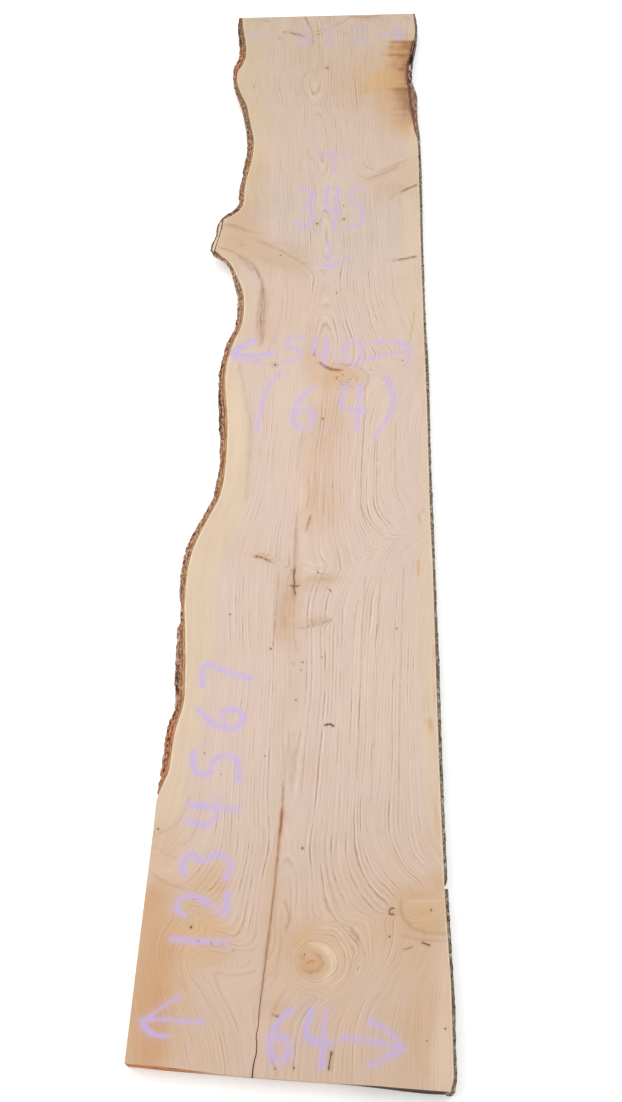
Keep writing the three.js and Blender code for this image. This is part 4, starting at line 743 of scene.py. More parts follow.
def near_box(x, y, pts, margin):
    p = np.asarray(pts, float)
    return ((x > p[:, 0].min() - margin) & (x < p[:, 0].max() + margin)
            & (y > p[:, 1].min() - margin) & (y < p[:, 1].max() + margin))


def chalk_at(x, y):
    """How far outside the nearest stroke (negative inside it), and that stroke's strength."""
    d = np.full(x.shape, 3.)
    s = np.zeros(x.shape)
    for k, (line, w, strength) in enumerate(CHALK):
        m = near_box(x, y, line, 1.6)
        if not m.any():
            continue
        q, at = segments(x[m], y[m], line)
        q = q - w * (1 + .22 * noise(at * 1.1, k * 3.7, 0, 5) + .10 * noise(at * 4, k * 1.7, 0, 6))
        new = q < d[m]
        d[m] = np.where(new, q, d[m])
        s[m] = np.where(new, strength, s[m])
    return d, s


# ------------------------------------------------------------------------------------------------ where points go
def near_line(x, t):
    return (1 - t) * table(NEAR_TOP, x) + t * table(NEAR_BOTTOM, x)


def check_width(y):
    y = np.maximum(0, y)
    return .042 * (.30 + .70 * np.exp(-y / 7)) * np.clip(23.4 - y, 0, 1) + .003


def check_depth(y):
    y = np.maximum(0, y)
    return .68 * np.exp(-y / 1.7) + .040 * (1 - y / 30)


def slab_rim():
    """The rim's points, anticlockwise from the wide end's left corner, at four levels, and which side each is on."""
    ts = (0, 0, MID / THICK, 1)
    yl = even(np.linspace(-.09, 134, 6000), left_wood(np.linspace(-.09, 134, 6000)), .235,
              keep=(86.9, 87.55, 90.45, 90.6, 92.7, 93.0))
    yr = even(np.array([-.95, 134.74]), np.array([0., 0.]), .33)
    corner_l = [float(near_line(.1, t)) for t in ts]
    corner_r = [float(near_line(24.7, t)) for t in ts]
    lv, on_stub = left_levels(yl)
    rv = right_levels(yr)
    fade_l = np.clip(1 - (yl - yl[0]) / 1.2, 0, 1)
    fade_r = np.clip(1 - (yr - yr[0]) / 1.2, 0, 1)
    for k in range(4):
        lv[k][:, 1] += fade_l * (corner_l[k] - yl[0])
        rv[k][:, 1] += fade_r * (corner_r[k] - yr[0])
    # the wide end, with the check's lips and bottom among its points
    cx = float(np.interp(-.62, [p[1] for p in CHECK_LINE], [p[0] for p in CHECK_LINE]))
    cw = float(check_width(-.6))
    a, b = lv[0][0, 0], rv[0][0, 0]
    xs = [a + (b - a) * i / 112 for i in range(1, 112)]
    xs = sorted([x for x in xs if abs(x - cx) > cw + .1] + [cx - cw, cx, cx + cw])
    f = (np.array(xs) - a) / (b - a)
    check_at = xs.index(cx)
    ends = []
    for k in range(4):
        x = lv[k][0, 0] + f * (rv[k][0, 0] - lv[k][0, 0])
        z = np.full_like(x, lv[k][0, 2])
        if k < 2:
            z[check_at] = -float(check_depth(-.6))
        ends.append(np.stack([x, near_line(x, ts[k]), z], -1))
    g = (np.arange(1, 90) / 90)[:, None]
    fars = [rv[k][-1] * (1 - g) + lv[k][-1] * g for k in range(4)]
    rim = [np.vstack([lv[k][:1], ends[k], rv[k], fars[k], lv[k][1:][::-1]]) for k in range(4)]
    n0, n1, n2 = 1 + len(xs), len(yr), 89
    side = np.concatenate([np.zeros(n0), np.ones(n1), np.full(n2, 2), np.full(len(yl) - 1, 3)]).astype(int)
    stub = np.concatenate([[False] * (n0 + n1 + n2), on_stub[1:][::-1]])
    return rim, side, stub, 1 + check_at


def rows_of(rim, stub):
    """Each rim point's column down the side."""
    p0, p1, pm, pb = rim
    facet = np.array([0, .18, .5, .82, 1.])
    plain = np.array([0, .025, .09, .155, .18])
    rows = []
    for k in range(5):
        a = p0 + (p1 - p0) * facet[k]
        b = p0 + (pm - p0) * plain[k]
        rows.append(np.where(stub[:, None], a, b))
    base = rows[4].copy()
    for u in (.25, .5, .75, 1):
        rows.append(base + (pm - base) * u)
    for u in (.34, .67, 1):
        rows.append(pm + (pb - pm) * u)
    return rows


class Surface:
    """Collects points and joining lines for one flat face, and triangulates it."""
    def __init__(self, rim_xy):
        self.xy = [tuple(p) for p in rim_xy]
        self.z = [0.] * len(self.xy)
        n = len(self.xy)
        self.lines = [(i, (i + 1) % n) for i in range(n)]
        self.busy = []                                         # (line, half width) kept free of other points

    def add(self, x, y, z=0.):
        self.xy.append((float(x), float(y)))
        self.z.append(float(z))
        return len(self.xy) - 1

    def groove(self, pts, width, depth, first=None, spacing=.16):
        """A V-shaped opening along a line. width and depth are functions of the length along it, from 0 to 1."""
        p = np.array(pts, float)
        s = np.concatenate([[0], np.cumsum(np.hypot(*np.diff(p, axis=0).T))])
        n = max(4, int(round(s[-1] / spacing)))
        q = np.linspace(0, s[-1], n + 1)
        c = np.stack([np.interp(q, s, p[:, 0]), np.interp(q, s, p[:, 1])], 1)
        t = np.gradient(c, axis=0)
        t /= np.hypot(t[:, 0], t[:, 1])[:, None]
        nrm = np.stack([-t[:, 1], t[:, 0]], 1)
        u = q / s[-1]
        w, d = width(u), depth(u)
        chains = [[], [], []]
        for i in range(n + 1):
            if i == 0 and first is not None:
                for ch, k in zip(chains, first):
                    ch.append(k)
                continue
            if i == n or (i == 0 and first is None):
                k = self.add(c[i, 0], c[i, 1])
                for ch in chains:
                    ch.append(k)
                continue
            chains[0].append(self.add(*(c[i] + nrm[i] * w[i])))
            chains[1].append(self.add(*c[i], -d[i]))
            chains[2].append(self.add(*(c[i] - nrm[i] * w[i])))
        for ch in chains:
            self.lines += [(a, b) for a, b in zip(ch[:-1], ch[1:]) if a != b]
        self.busy.append((c, float(w.max()) + .05))

    def pit(self, x, y, r, depth, turn=0.):
        self.add(x, y, -depth)
        for rr, n, zz in ((r * .55, 6, -depth * .8), (r, 9, 0.), (r * 1.7, 10, 0.)):
            for k in range(n):
                a = turn + 2 * math.pi * (k + .5 * (n == 9)) / n
                self.add(x + rr * math.cos(a), y + rr * 1.15 * math.sin(a), zz)
        self.busy.append((np.array([[x, y], [x + .001, y]]), r * 1.95))

    def clear_of_busy(self, x, y):
        ok = np.ones(x.shape, bool)
        for c, w in self.busy:
            m = near_box(x, y, c, w + .1)
            if m.any():
                d, _ = segments(x[m], y[m], c)
                ok[m] &= d > w
        return ok

    def triangles(self):
        v, _, faces, origin, _, _ = delaunay_2d_cdt([Vector(p) for p in self.xy], self.lines, [], 1, 1e-6)
        index = [o[0] for o in origin]
        return [tuple(index[i] for i in f) for f in faces]


def inside_slab(x, y, rim, margin):
    """Points that lie inside a rim, which is given as its left and right runs."""
    (lx, ly), (rx, ry), (nx, ny), (fx, fy) = rim
    slope = np.abs(np.gradient(lx, ly))
    m_left = margin * np.sqrt(1 + np.interp(y, ly, slope) ** 2)
    return ((x > np.interp(y, ly, lx) + m_left) & (x < np.interp(y, ry, rx) - margin)
            & (y > np.interp(x, nx, ny) + margin) & (y < np.interp(x, fx, fy) - margin))


def spread(size_at, x0, x1, y0, y1, base, levels):
    """Points on a grid that is split where size_at asks for smaller spacing."""
    cx, cy = np.meshgrid(np.arange(x0, x1, base) + base / 2, np.arange(y0, y1, base) + base / 2)
    cx, cy = cx.ravel(), cy.ravel()
    s = base
    out = []
    for level in range(levels + 1):
        need = size_at(cx, cy, s)
        if level == levels:
            split = np.zeros(cx.shape, bool)
        else:
            split = need < .74 * s
        k, m = cx[~split], cy[~split]
        iu, iv = (k / s * 8).astype(np.int64), (m / s * 8).astype(np.int64)
        out.append(np.stack([k + s * .52 * (hashed(iu, iv, level, 31) - .5),
                             m + s * .52 * (hashed(iu, iv, level, 37) - .5)], 1))
        cx, cy = cx[split], cy[split]
        s /= 2
        cx = np.concatenate([cx - s / 2, cx + s / 2, cx - s / 2, cx + s / 2])
        cy = np.concatenate([cy - s / 2, cy - s / 2, cy + s / 2, cy + s / 2])
    return np.vstack(out)


def curvature_map():
    g = .3
    xs, ys = np.arange(-2.7, 26.1, g), np.arange(-1.5, 136.1, g)
    x, y = np.meshgrid(xs, ys)
    a, _ = figure(x, y, np.zeros_like(x))
    a = np.pad(a, 1, mode='edge')
    xx = np.abs(a[1:-1, 2:] - 2 * a[1:-1, 1:-1] + a[1:-1, :-2])
    yy = np.abs(a[2:, 1:-1] - 2 * a[1:-1, 1:-1] + a[:-2, 1:-1])
    xy = np.abs(a[2:, 2:] - a[2:, :-2] - a[:-2, 2:] + a[:-2, :-2]) / 4
    c = np.maximum(np.maximum(xx, yy), xy) / g ** 2
    return xs, ys, c, g


def slab_sizes():
    xs, ys, c, g = curvature_map()

    def size(x, y, s):
        i = np.clip(((x - xs[0]) / g + .5).astype(int), 1, len(xs) - 2)
        j = np.clip(((y - ys[0]) / g + .5).astype(int), 1, len(ys) - 2)
        k = np.maximum.reduce([c[j + b, i + a] for a in (-1, 0, 1) for b in (-1, 0, 1)])
        h = np.clip(np.sqrt(.22 / np.maximum(k, 1e-3)), .17, .40)
        reach = s * .7
        xl, xr = left_wood(y), table(RIGHT_WOOD, y)
        edge = np.minimum(np.abs(x - xl), np.abs(x - xr))
        h = np.minimum(h, np.where(edge < .35 + reach, .20, 9))
        d, _ = chalk_at(x, y)
        h = np.minimum(h, np.where((d < .20 + reach), .19, 9))
        for line, w, strength, kind in LINES:
            if w > .3:
                continue
            m = near_box(x, y, line, .5 + reach)
            if m.any():
                q, _ = segments(x[m], y[m], line)
                h[m] = np.minimum(h[m], np.where(q < w * 1.3 + reach, max(.095, w * .75), 9))
        for line, w, depth, dark in CRACKS:
            m = near_box(x, y, line, .6 + reach)
            if m.any():
                q, _ = segments(x[m], y[m], line)
                h[m] = np.minimum(h[m], np.where(q < w + .25 + reach, .10, 9))
        for dx, dy, r in DOTS:
            q = np.hypot(x - dx, y - dy)
            h = np.minimum(h, np.where(q < r + .2 + reach, .10, 9))
        q, _ = segments(x, y, CHECK_LINE)
        h = np.minimum(h, np.where(q < .25 + reach, .10, 9))
        stain = (x > 18.5) & (y > 108) & (y < 129.2)
        h = np.minimum(h, np.where(stain, .19, 9))
        return h
    return size


# places where the rings are faint: centre, half axes, strength
FAINT = [(14.05, 7.9, 1.05, .95, .78), (14.9, 8.9, .9, .5, .5), (22.6, 12.2, 1.6, 1.1, .45)]

# horizontal streaks of the brown stain in the upper right corner: y, half height, strength, where it starts
STREAKS = [
  (127.80, .60, .62, 19.7), (126.85, .16, .42, 19.0), (127.2, .30, .30, 20.1), (125.30, .13, .92, 18.0), (125.0, .30, .30, 19.6), (124.35, .10, .28, 19.4),
  (122.35, .11, .50, 17.8), (122.15, .34, .50, 20.0), (120.7, .10, .22, 19.4), (117.95, .20, .62, 18.6), (117.3, .16, .46, 19.4),
  (116.4, .22, .24, 19.9), (113.9, .3, .18, 20.2), (128.15, .18, .40, 19.8),
]


# browner places in it: centre, half axes, strength
STAINS = [
  (20.4, 122.15, .50, .50, .74), (20.3, 124.9, .55, .40, .62), (20.75, 113.2, .14, 1.2, .46), (20.1, 116.8, .16, .9, .36), (20.9, 127.2, .70, .80, .52), (19.7, 128.2, .9, .32, .40), (20.65, 123.6, .22, 1.9, .56), (20.55, 116.4, .20, 1.4, .60), (20.9, 115.2, .18, 1.6, .62),
  (19.9, 117.3, .5, .35, .34), (20.2, 126.2, .5, .16, .22),
  (19.0, 117.9, 1.8, .22, .30), (20.6, 116.6, .80, 1.5, .34), (20.9, 114.2, .60, 1.6, .26), (20.2, 117.6, .9, .6, .30),
  (18.7, 125.3, .30, .25, .30), (19.4, 123.2, .35, 1.1, .16), (20.9, 119.6, .25, 1.2, .34),
]


def tinted(x, y, z):
    """The wood's tints at any point: sapwood, tan, orange, dark, brown, rust, stain, pale, pink and ring contrast."""
    wob = .35 * fbm(x * .5, y * .16, 0, 3, 41)
    sap = 1 - step(-.30, .30, x - table(SAP_LEFT, y) + wob)
    sap = np.maximum(sap, .75 * step(-.5, .6, x - table(SAP_RIGHT, y) + wob))
    tints = [np.zeros(x.shape) for _ in range(8)]
    dark, tan, pale, orange, pink, brown, rust, gold = tints
    kinds = {0: dark, 1: tan, 2: pale, 3: orange, 4: brown, 5: rust, 6: gold}
    top = 1 - step(.15, 1.4, -z)                               # most tints are on the face, and fade with depth
    tan += table(TAN_WASH, y) * (1 + .25 * fbm(x * .3, y * .12, 0, 3, 45))
    for cx, cy, rx, ry, turn, s, kind in PATCHES:
        a = math.radians(turn)
        dx, dy = x - cx, y - cy
        m = (np.abs(dx) < 2.6 * max(rx, ry)) & (np.abs(dy) < 2.6 * max(rx, ry))
        if not m.any():
            continue
        ux = (dx[m] * math.cos(a) + dy[m] * math.sin(a)) / rx
        uy = (-dx[m] * math.sin(a) + dy[m] * math.cos(a)) / ry
        e = np.hypot(ux, uy) * (1 + .20 * fbm(x[m] * 1.1 / min(rx, 1.6), y[m] * .5, 0, 3, 43))
        v = s * np.exp(-(e / .95) ** 2.4)
        t = pink if kind == 4 else kinds[kind]
        t[m] = 1 - (1 - t[m]) * (1 - v)
    grainy = fbm(x * 2.2, y * .7, 0, 3, 47)
    broken = fbm(x * 5, y * 1.9, 0, 3, 49)
    for line, w, s, kind in LINES:
        m = near_box(x, y, line, 3.2 * w)
        if not m.any():
            continue
        d, at = segments(x[m], y[m], line)
        total = sum(math.dist(p, q) for p, q in zip(line[:-1], line[1:]))
        near_end = np.minimum(at, total - at)
        ends = .35 + .65 * step(0, min(1.2, .35 * total), near_end + .12 * total) if w < .25 else step(0, min(2.6, .5 * total), near_end)
        v = s * np.exp(-(d / w * (1 + .3 * grainy[m])) ** 2) * ends
        if kind in (0, 4):
            v = v * np.clip(1 + .75 * broken[m], .35, 1.5)
        t = kinds[kind]
        t[m] = 1 - (1 - t[m]) * (1 - np.minimum(v, 1))
    for line, w, depth, s in CRACKS:
        m = near_box(x, y, line, .8)
        if m.any():
            d, _ = segments(x[m], y[m], line)
            dark[m] = np.maximum(dark[m], s * (1 - step(w * .5, w * 1.1 + .01, d)))
            tan[m] = np.maximum(tan[m], .5 * np.exp(-(d / .22) ** 2))
            brown[m] = np.maximum(brown[m], .5 * s * np.exp(-(d / .11) ** 2))
    for dx, dy, r in DOTS:
        q = np.hypot(x - dx, (y - dy) / 1.15)
        m = q < 1.0
        dark[m] = np.maximum(dark[m], .92 * (1 - step(r * .6, r * 1.25, q[m])))
        brown[m] = np.maximum(brown[m], .42 * np.exp(-(q[m] / (r * 1.7)) ** 2))
        tan[m] = np.maximum(tan[m], .45 * np.exp(-(q[m] / (r * 3.0)) ** 2))
    # the long check in the heart: a brown line whose colour changes along it, with painted shade in its opening
    q, at = segments(x, y, CHECK_LINE)
    lively = noise(y * 1.3, 3.3, 0, 55)
    brown = np.maximum(brown, np.where(z < -.01, .80, .34 + .26 * lively) * np.exp(-(q / (.085 + .03 * lively)) ** 2) * (y < 22.6))
    # where the check's walls below the face go near black: painted shade in the opening, in noisy places and most
    # towards the wide end where it is deepest
    check_wall_shade = step(.15, .50, noise(y * 1.9, 9.1, 0, 57) + .22 * (1 - step(1.5, 4.0, y)))
    tan = np.maximum(tan, .42 * np.exp(-((q - .05) / .24) ** 2) * (y < 22.6))
    dark = np.maximum(dark, .62 * check_wall_shade * (z < -.015) * (q < .10) * (y < 22.6) * (z > -.78))
    rust = np.maximum(rust, .42 * np.exp(-(q / .17) ** 2) * step(4, 7, y) * (1 - step(17, 18, y)) * (.6 + .4 * noise(y * .9, 1, 0, 59)))
    # brown stain of the upper right corner, with streaks across the slab
    across = fbm(x * .5, y * 3.2, 0, 3, 53)
    upright = fbm(x * 3.0, y * .35, 0, 3, 54)
    stain = np.zeros(x.shape)
    for sy, th, s, start in STREAKS:
        v = s * np.exp(-((y - sy + .05 * (x - 20)) / th) ** 2) * step(start - 1.1, start + 2.2, x + 1.5 * upright + .6 * across)
        stain = 1 - (1 - stain) * (1 - np.clip(v * (1 + .35 * across), 0, 1))
    stain *= 1 - step(128.45, 128.75, y + .06 * (x - 20) + .08 * upright)
    e = smooth_table(RIGHT_WOOD, y, .3) - x
    body = step(108.5, 112, y) * (1 - step(128.3, 128.8, y))
    wash = body * step(16.0, 20.5, x + .6 * upright) * (.22 + .20 * across * step(118, 119, y))
    start = 18.25 + .50 * noise(y * .55, 2.2, 0, 71) + .40 * noise(y * 2.3, 5.2, 0, 72)
    upper = step(121.2, 123.4, y) * (1 - step(128.3, 128.8, y + .06 * (x - 20) + .10 * upright))
    upper = upper * step(-.7, 1.5, x - start + .7 * upright) * (1 + .6 * across + .45 * upright)
    wash = np.maximum(wash, .62 * upper)
    gold = 1 - (1 - gold) * (1 - np.clip(.58 * upper, 0, 1))
    gold = 1 - (1 - gold) * (1 - .55 * np.exp(-((x - 18.75 - .25 * upright) / .55) ** 2) * step(123.6, 124.8, y) * (1 - step(126.6, 127.4, y)))
    orange = 1 - (1 - orange) * (1 - np.clip(wash * (1.35 - .7 * step(17.5, 18.2, y * 0 + np.abs(y - 118))), 0, 1))
    stain = 1 - (1 - stain) * (1 - .24 * body * step(18.4, 20.6, x + .5 * across) * (1 + .8 * across))
    for cx, cy, rx, ry, v in STAINS:
        v = v * np.exp(-((x - cx) / rx) ** 2 - ((y - cy) / ry) ** 2) * np.clip(1 + .7 * across + .3 * upright, 0, 2)
        stain = 1 - (1 - stain) * (1 - np.clip(v, 0, .95))
    low = step(109.5, 114.0, y) * (1 - step(118.0, 118.6, y + .5 * upright))
    maroon = low * np.exp(-np.clip(e, 0, 9) / (.42 + .46 * step(111, 116, y))) * (1 + .5 * upright + .3 * across)
    maroon = np.maximum(maroon, .92 * step(118, 119, y) * (1 - step(128, 128.8, y)) * np.exp(-np.clip(e, 0, 9) / .36) * (1 + .8 * across))
    maroon = np.clip(maroon, 0, 1) * top
    pale = pale * top
    contrast = np.full(x.shape, .27)
    for cx, cy, rx, ry, s in DRAWN:
        v = s * np.exp(-(np.hypot((x - cx) / rx, (y - cy) / ry) / 1.05) ** 2.6)
        contrast = np.maximum(contrast, v + .6 * contrast * (1 - v))
    for cx, cy, rx, ry, s in FAINT:
        contrast = contrast * (1 - s * np.exp(-(np.hypot((x - cx) / rx, (y - cy) / ry) / 1.05) ** 2.6))
    contrast = contrast * (1 - .45 * sap)
    keep = .35 + .65 * top
    return dict(sap=sap, tan=tan * keep, orange=orange * top, dark=dark * np.where(z < -.9, .25, 1), stain=stain * (.3 + .7 * top),
                pale=pale, pink=pink, con=contrast, maroon=maroon, gold=gold * top, brown=brown * np.where(z < -.9, .25, 1), rust=rust * top)


# ------------------------------------------------------------------------------------------------ making meshes
def make_mesh(name, verts_in, faces, attributes, material, uv, sharp=.7, z_lift=0.):
    me = bpy.data.meshes.new(name)
    co = world(verts_in)
    me.vertices.add(len(co))
    me.vertices.foreach_set('co', co.astype(np.float32).ravel())
    sizes = np.array([len(f) for f in faces], np.int32)
    flat = np.concatenate([np.asarray(f, np.int32) for f in faces])
    me.loops.add(len(flat))
    me.loops.foreach_set('vertex_index', flat)
    me.polygons.add(len(sizes))
    me.polygons.foreach_set('loop_start', np.concatenate([[0], np.cumsum(sizes)[:-1]]).astype(np.int32))
    me.update(calc_edges=True)
    for key, value in attributes.items():
        value = np.asarray(value, np.float32)
        if value.ndim == 1:
            me.attributes.new(key, 'FLOAT', 'POINT').data.foreach_set('value', value)
        else:
            me.attributes.new(key, 'FLOAT_VECTOR', 'POINT').data.foreach_set('vector', value.ravel())
    layer = me.uv_layers.new(name='OFBake')
    layer.data.foreach_set('uv', np.asarray(uv, np.float32).ravel())
    me.polygons.foreach_set('use_smooth', np.ones(len(sizes), bool))
    me.set_sharp_from_angle(angle=sharp)
    me.materials.append(material)
    me.validate(clean_customdata=False)
    me.update()
    ob = bpy.data.objects.new(name, me)
    bpy.context.scene.collection.objects.link(ob)
    return ob


def wood_attributes(p):
    x, y, z = p[:, 0], p[:, 1], p[:, 2]
    age, u = figure(x, y, z)
    t = tinted(x, y, z)
    d, s = chalk_at(x, y)
    d = np.where(z < -.3, 3., d)
    return {
        'edge': np.stack([np.clip(x - left_wood(y), -.5, 3), np.clip(smooth_table(RIGHT_WOOD, y, .3) - x, -.5, 3), t['maroon']], 1),
        'grain': np.stack([age, u, t['brown']], 1),
        'tint_a': np.stack([t['sap'], t['tan'], t['orange']], 1),
        'tint_b': np.stack([t['dark'], t['stain'], t['pale']], 1),
        'tint_c': np.stack([t['pink'], t['con'], t['gold']], 1),
        'chalk': np.stack([np.clip(d, -1, 1.5), s, t['rust']], 1),
    }


def build_slab(material):
    rim, side, stub, check_at = slab_rim()
    rows = rows_of(rim, stub)
    n = len(side)
    top, bottom = rows[0], rows[-1]
    # ---- upper face
    face = Surface(top[:, :2])
    for i in range(n):
        face.z[i] = float(top[i, 2])
    cl = np.array(CHECK_LINE)
    ys = np.linspace(float(top[check_at, 1]), 22.4, 200)
    line = np.stack([np.interp(ys, cl[:, 1], cl[:, 0]), ys], 1)
    line[:, 0] += (.02 * noise(ys * .9, 2.2, 0, 7) + .022 * noise(ys * 2.7, 4.2, 0, 8)) * step(0, 1, ys - ys[0])
    face.groove(line, lambda u: check_width(-.6 + 23 * u), lambda u: check_depth(-.6 + 23 * u),
                first=(check_at - 1, check_at, check_at + 1), spacing=.2)
    for pts, w, depth, dark in CRACKS:
        pts = rounded(pts, 1)
        face.groove(pts, lambda u, w=w: w * np.sin(np.pi * np.clip(u, .0, 1)) ** .6 + .004,
                    lambda u, d=depth: d * np.sin(np.pi * u) ** .5 + .003, spacing=.13)
    for k, (x, y, r) in enumerate(DOTS):
        face.pit(x, y, r, .45 * r + .01, turn=k * 1.3)
    runs = []
    for lev in (top, bottom):
        left = lev[side == 3][::-1]
        right = lev[side == 1]
        near = np.vstack([lev[0:1], lev[side == 0][1:], right[:1]])
        far = np.vstack([right[-1:], lev[side == 2], left[-1:]])[::-1]
        lo = np.vstack([lev[0:1], left])
        runs.append(((lo[:, 0], lo[:, 1]), (right[:, 0], right[:, 1]), (near[:, 0], near[:, 1]), (far[:, 0], far[:, 1])))
    pts = spread(slab_sizes(), -2.6, 25.6, -1.6, 135.4, .40, 2)
    ok = inside_slab(pts[:, 0], pts[:, 1], runs[0], .085) & face.clear_of_busy(pts[:, 0], pts[:, 1])
    for x, y in pts[ok]:
        face.add(x, y)
    tri_top = face.triangles()
    top_pts = np.array([(x, y, z) for (x, y), z in zip(face.xy, face.z)])
    # ---- lower face
    lower = Surface(bottom[:, :2])
    pts = spread(lambda x, y, s: np.full(x.shape, .6), -2.6, 25.6, -1.6, 135.4, .62, 0)
    ok = inside_slab(pts[:, 0], pts[:, 1], runs[1], .2)
    for x, y in pts[ok]:
        lower.add(x, y)
    tri_low = lower.triangles()
    low_pts = np.array([(x, y, -THICK) for x, y in lower.xy])
    # ---- sides
    mids = [r.copy() for r in rows[1:-1]]
    wave = noise(top[:, 0] * .9 + 40, top[:, 1] * .9, 0, 61)
    for k, r in enumerate(mids):
        amp = np.where((side == 3) & ~stub & (k > 0), .022, 0.)
        r[:, 0] += amp * (noise(r[:, 1] * 1.6, r[:, 2] * 2.2, 5, 63) + .5 * wave)
        # saw marks and a slightly torn surface on the ends
        end = (side == 0) | (side == 2)
        r[:, 1] += np.where(end, .010 * noise(r[:, 0] * 3.0, r[:, 2] * 9.0, 3, 65), 0)
    nt = len(top_pts)
    verts = [top_pts] + mids
    starts = [0] + [nt + n * k for k in range(len(mids))]
    low_start = nt + n * len(mids)
    verts.append(low_pts)
    starts.append(low_start)
    p = np.vstack(verts)
    faces = [tuple(t) for t in tri_top]
    kind = [0] * len(faces)
    faces += [(low_start + a, low_start + c, low_start + b) for a, b, c in tri_low]
    kind += [1] * len(tri_low)
    for r in range(len(starts) - 1):
        a0, b0 = starts[r], starts[r + 1]
        for i in range(n):
            j = (i + 1) % n
            faces.append((a0 + i, b0 + i, b0 + j, a0 + j))
            kind.append(2 + int(side[j]) if side[i] != side[j] else 2 + int(side[i]))
    kind = np.array(kind)
    # ---- the bake map: the upper face in two runs side by side, the rest beside them
    S = 73.0
    uv = np.empty((sum(len(f) for f in faces), 2))
    at = 0
    cy = np.array([p[list(f), 1].mean() for f in faces])
    for f, k, c in zip(faces, kind, cy):
        q = p[list(f)]
        if k == 0:
            if c < 67.5:
                u, v = q[:, 0] + 3.0, q[:, 1] + 1.8
            else:
                u, v = q[:, 0] + 31.6, q[:, 1] - 67.5 + 1.2
        elif k == 1:
            u, v = 58.6 + (q[:, 0] + 2.4) * .36, 1 + (q[:, 1] + 1.2) * .36
        elif k == 2:
            u, v = 58.6 + q[:, 0] * .52, 52.5 - q[:, 2]
        elif k == 4:
            u, v = 58.6 + (q[:, 0] + 2.2) * .52, 56.5 - q[:, 2]
        elif k == 3:
            u, v = 69.4 - q[:, 2] * .5, 1 + (q[:, 1] + 1.2) * .36
        else:
            u, v = 71.2 - q[:, 2] * .5, 1 + (q[:, 1] + 1.2) * .36
        uv[at:at + len(f), 0] = u / S
        uv[at:at + len(f), 1] = v / S
        at += len(f)
    attrs = wood_attributes(p)
    # the sawn facet of the stub, its two edges, where the shader paints shade lines, and the other faces, for the
    # shader
    zone = np.zeros((len(p), 3))
    for r, a0 in enumerate(starts[:-1]):
        on = np.where(stub)[0]
        if r <= 4:
            zone[a0 + on, 0] = 1
            if r in (0, 4):
                zone[a0 + on, 1] = 1
    ends = np.where((side == 0) | (side == 2))[0]
    for r, a0 in enumerate(starts):
        if r > 0:
            zone[a0 + ends, 2] = 1
    attrs['zone'] = zone
    ob = make_mesh('slab_wood', p, faces, attrs, material, uv, sharp=.6)
    print('slab', len(p), 'points', sum(len(f) - 2 for f in faces), 'triangles; top', len(tri_top))
    return ob


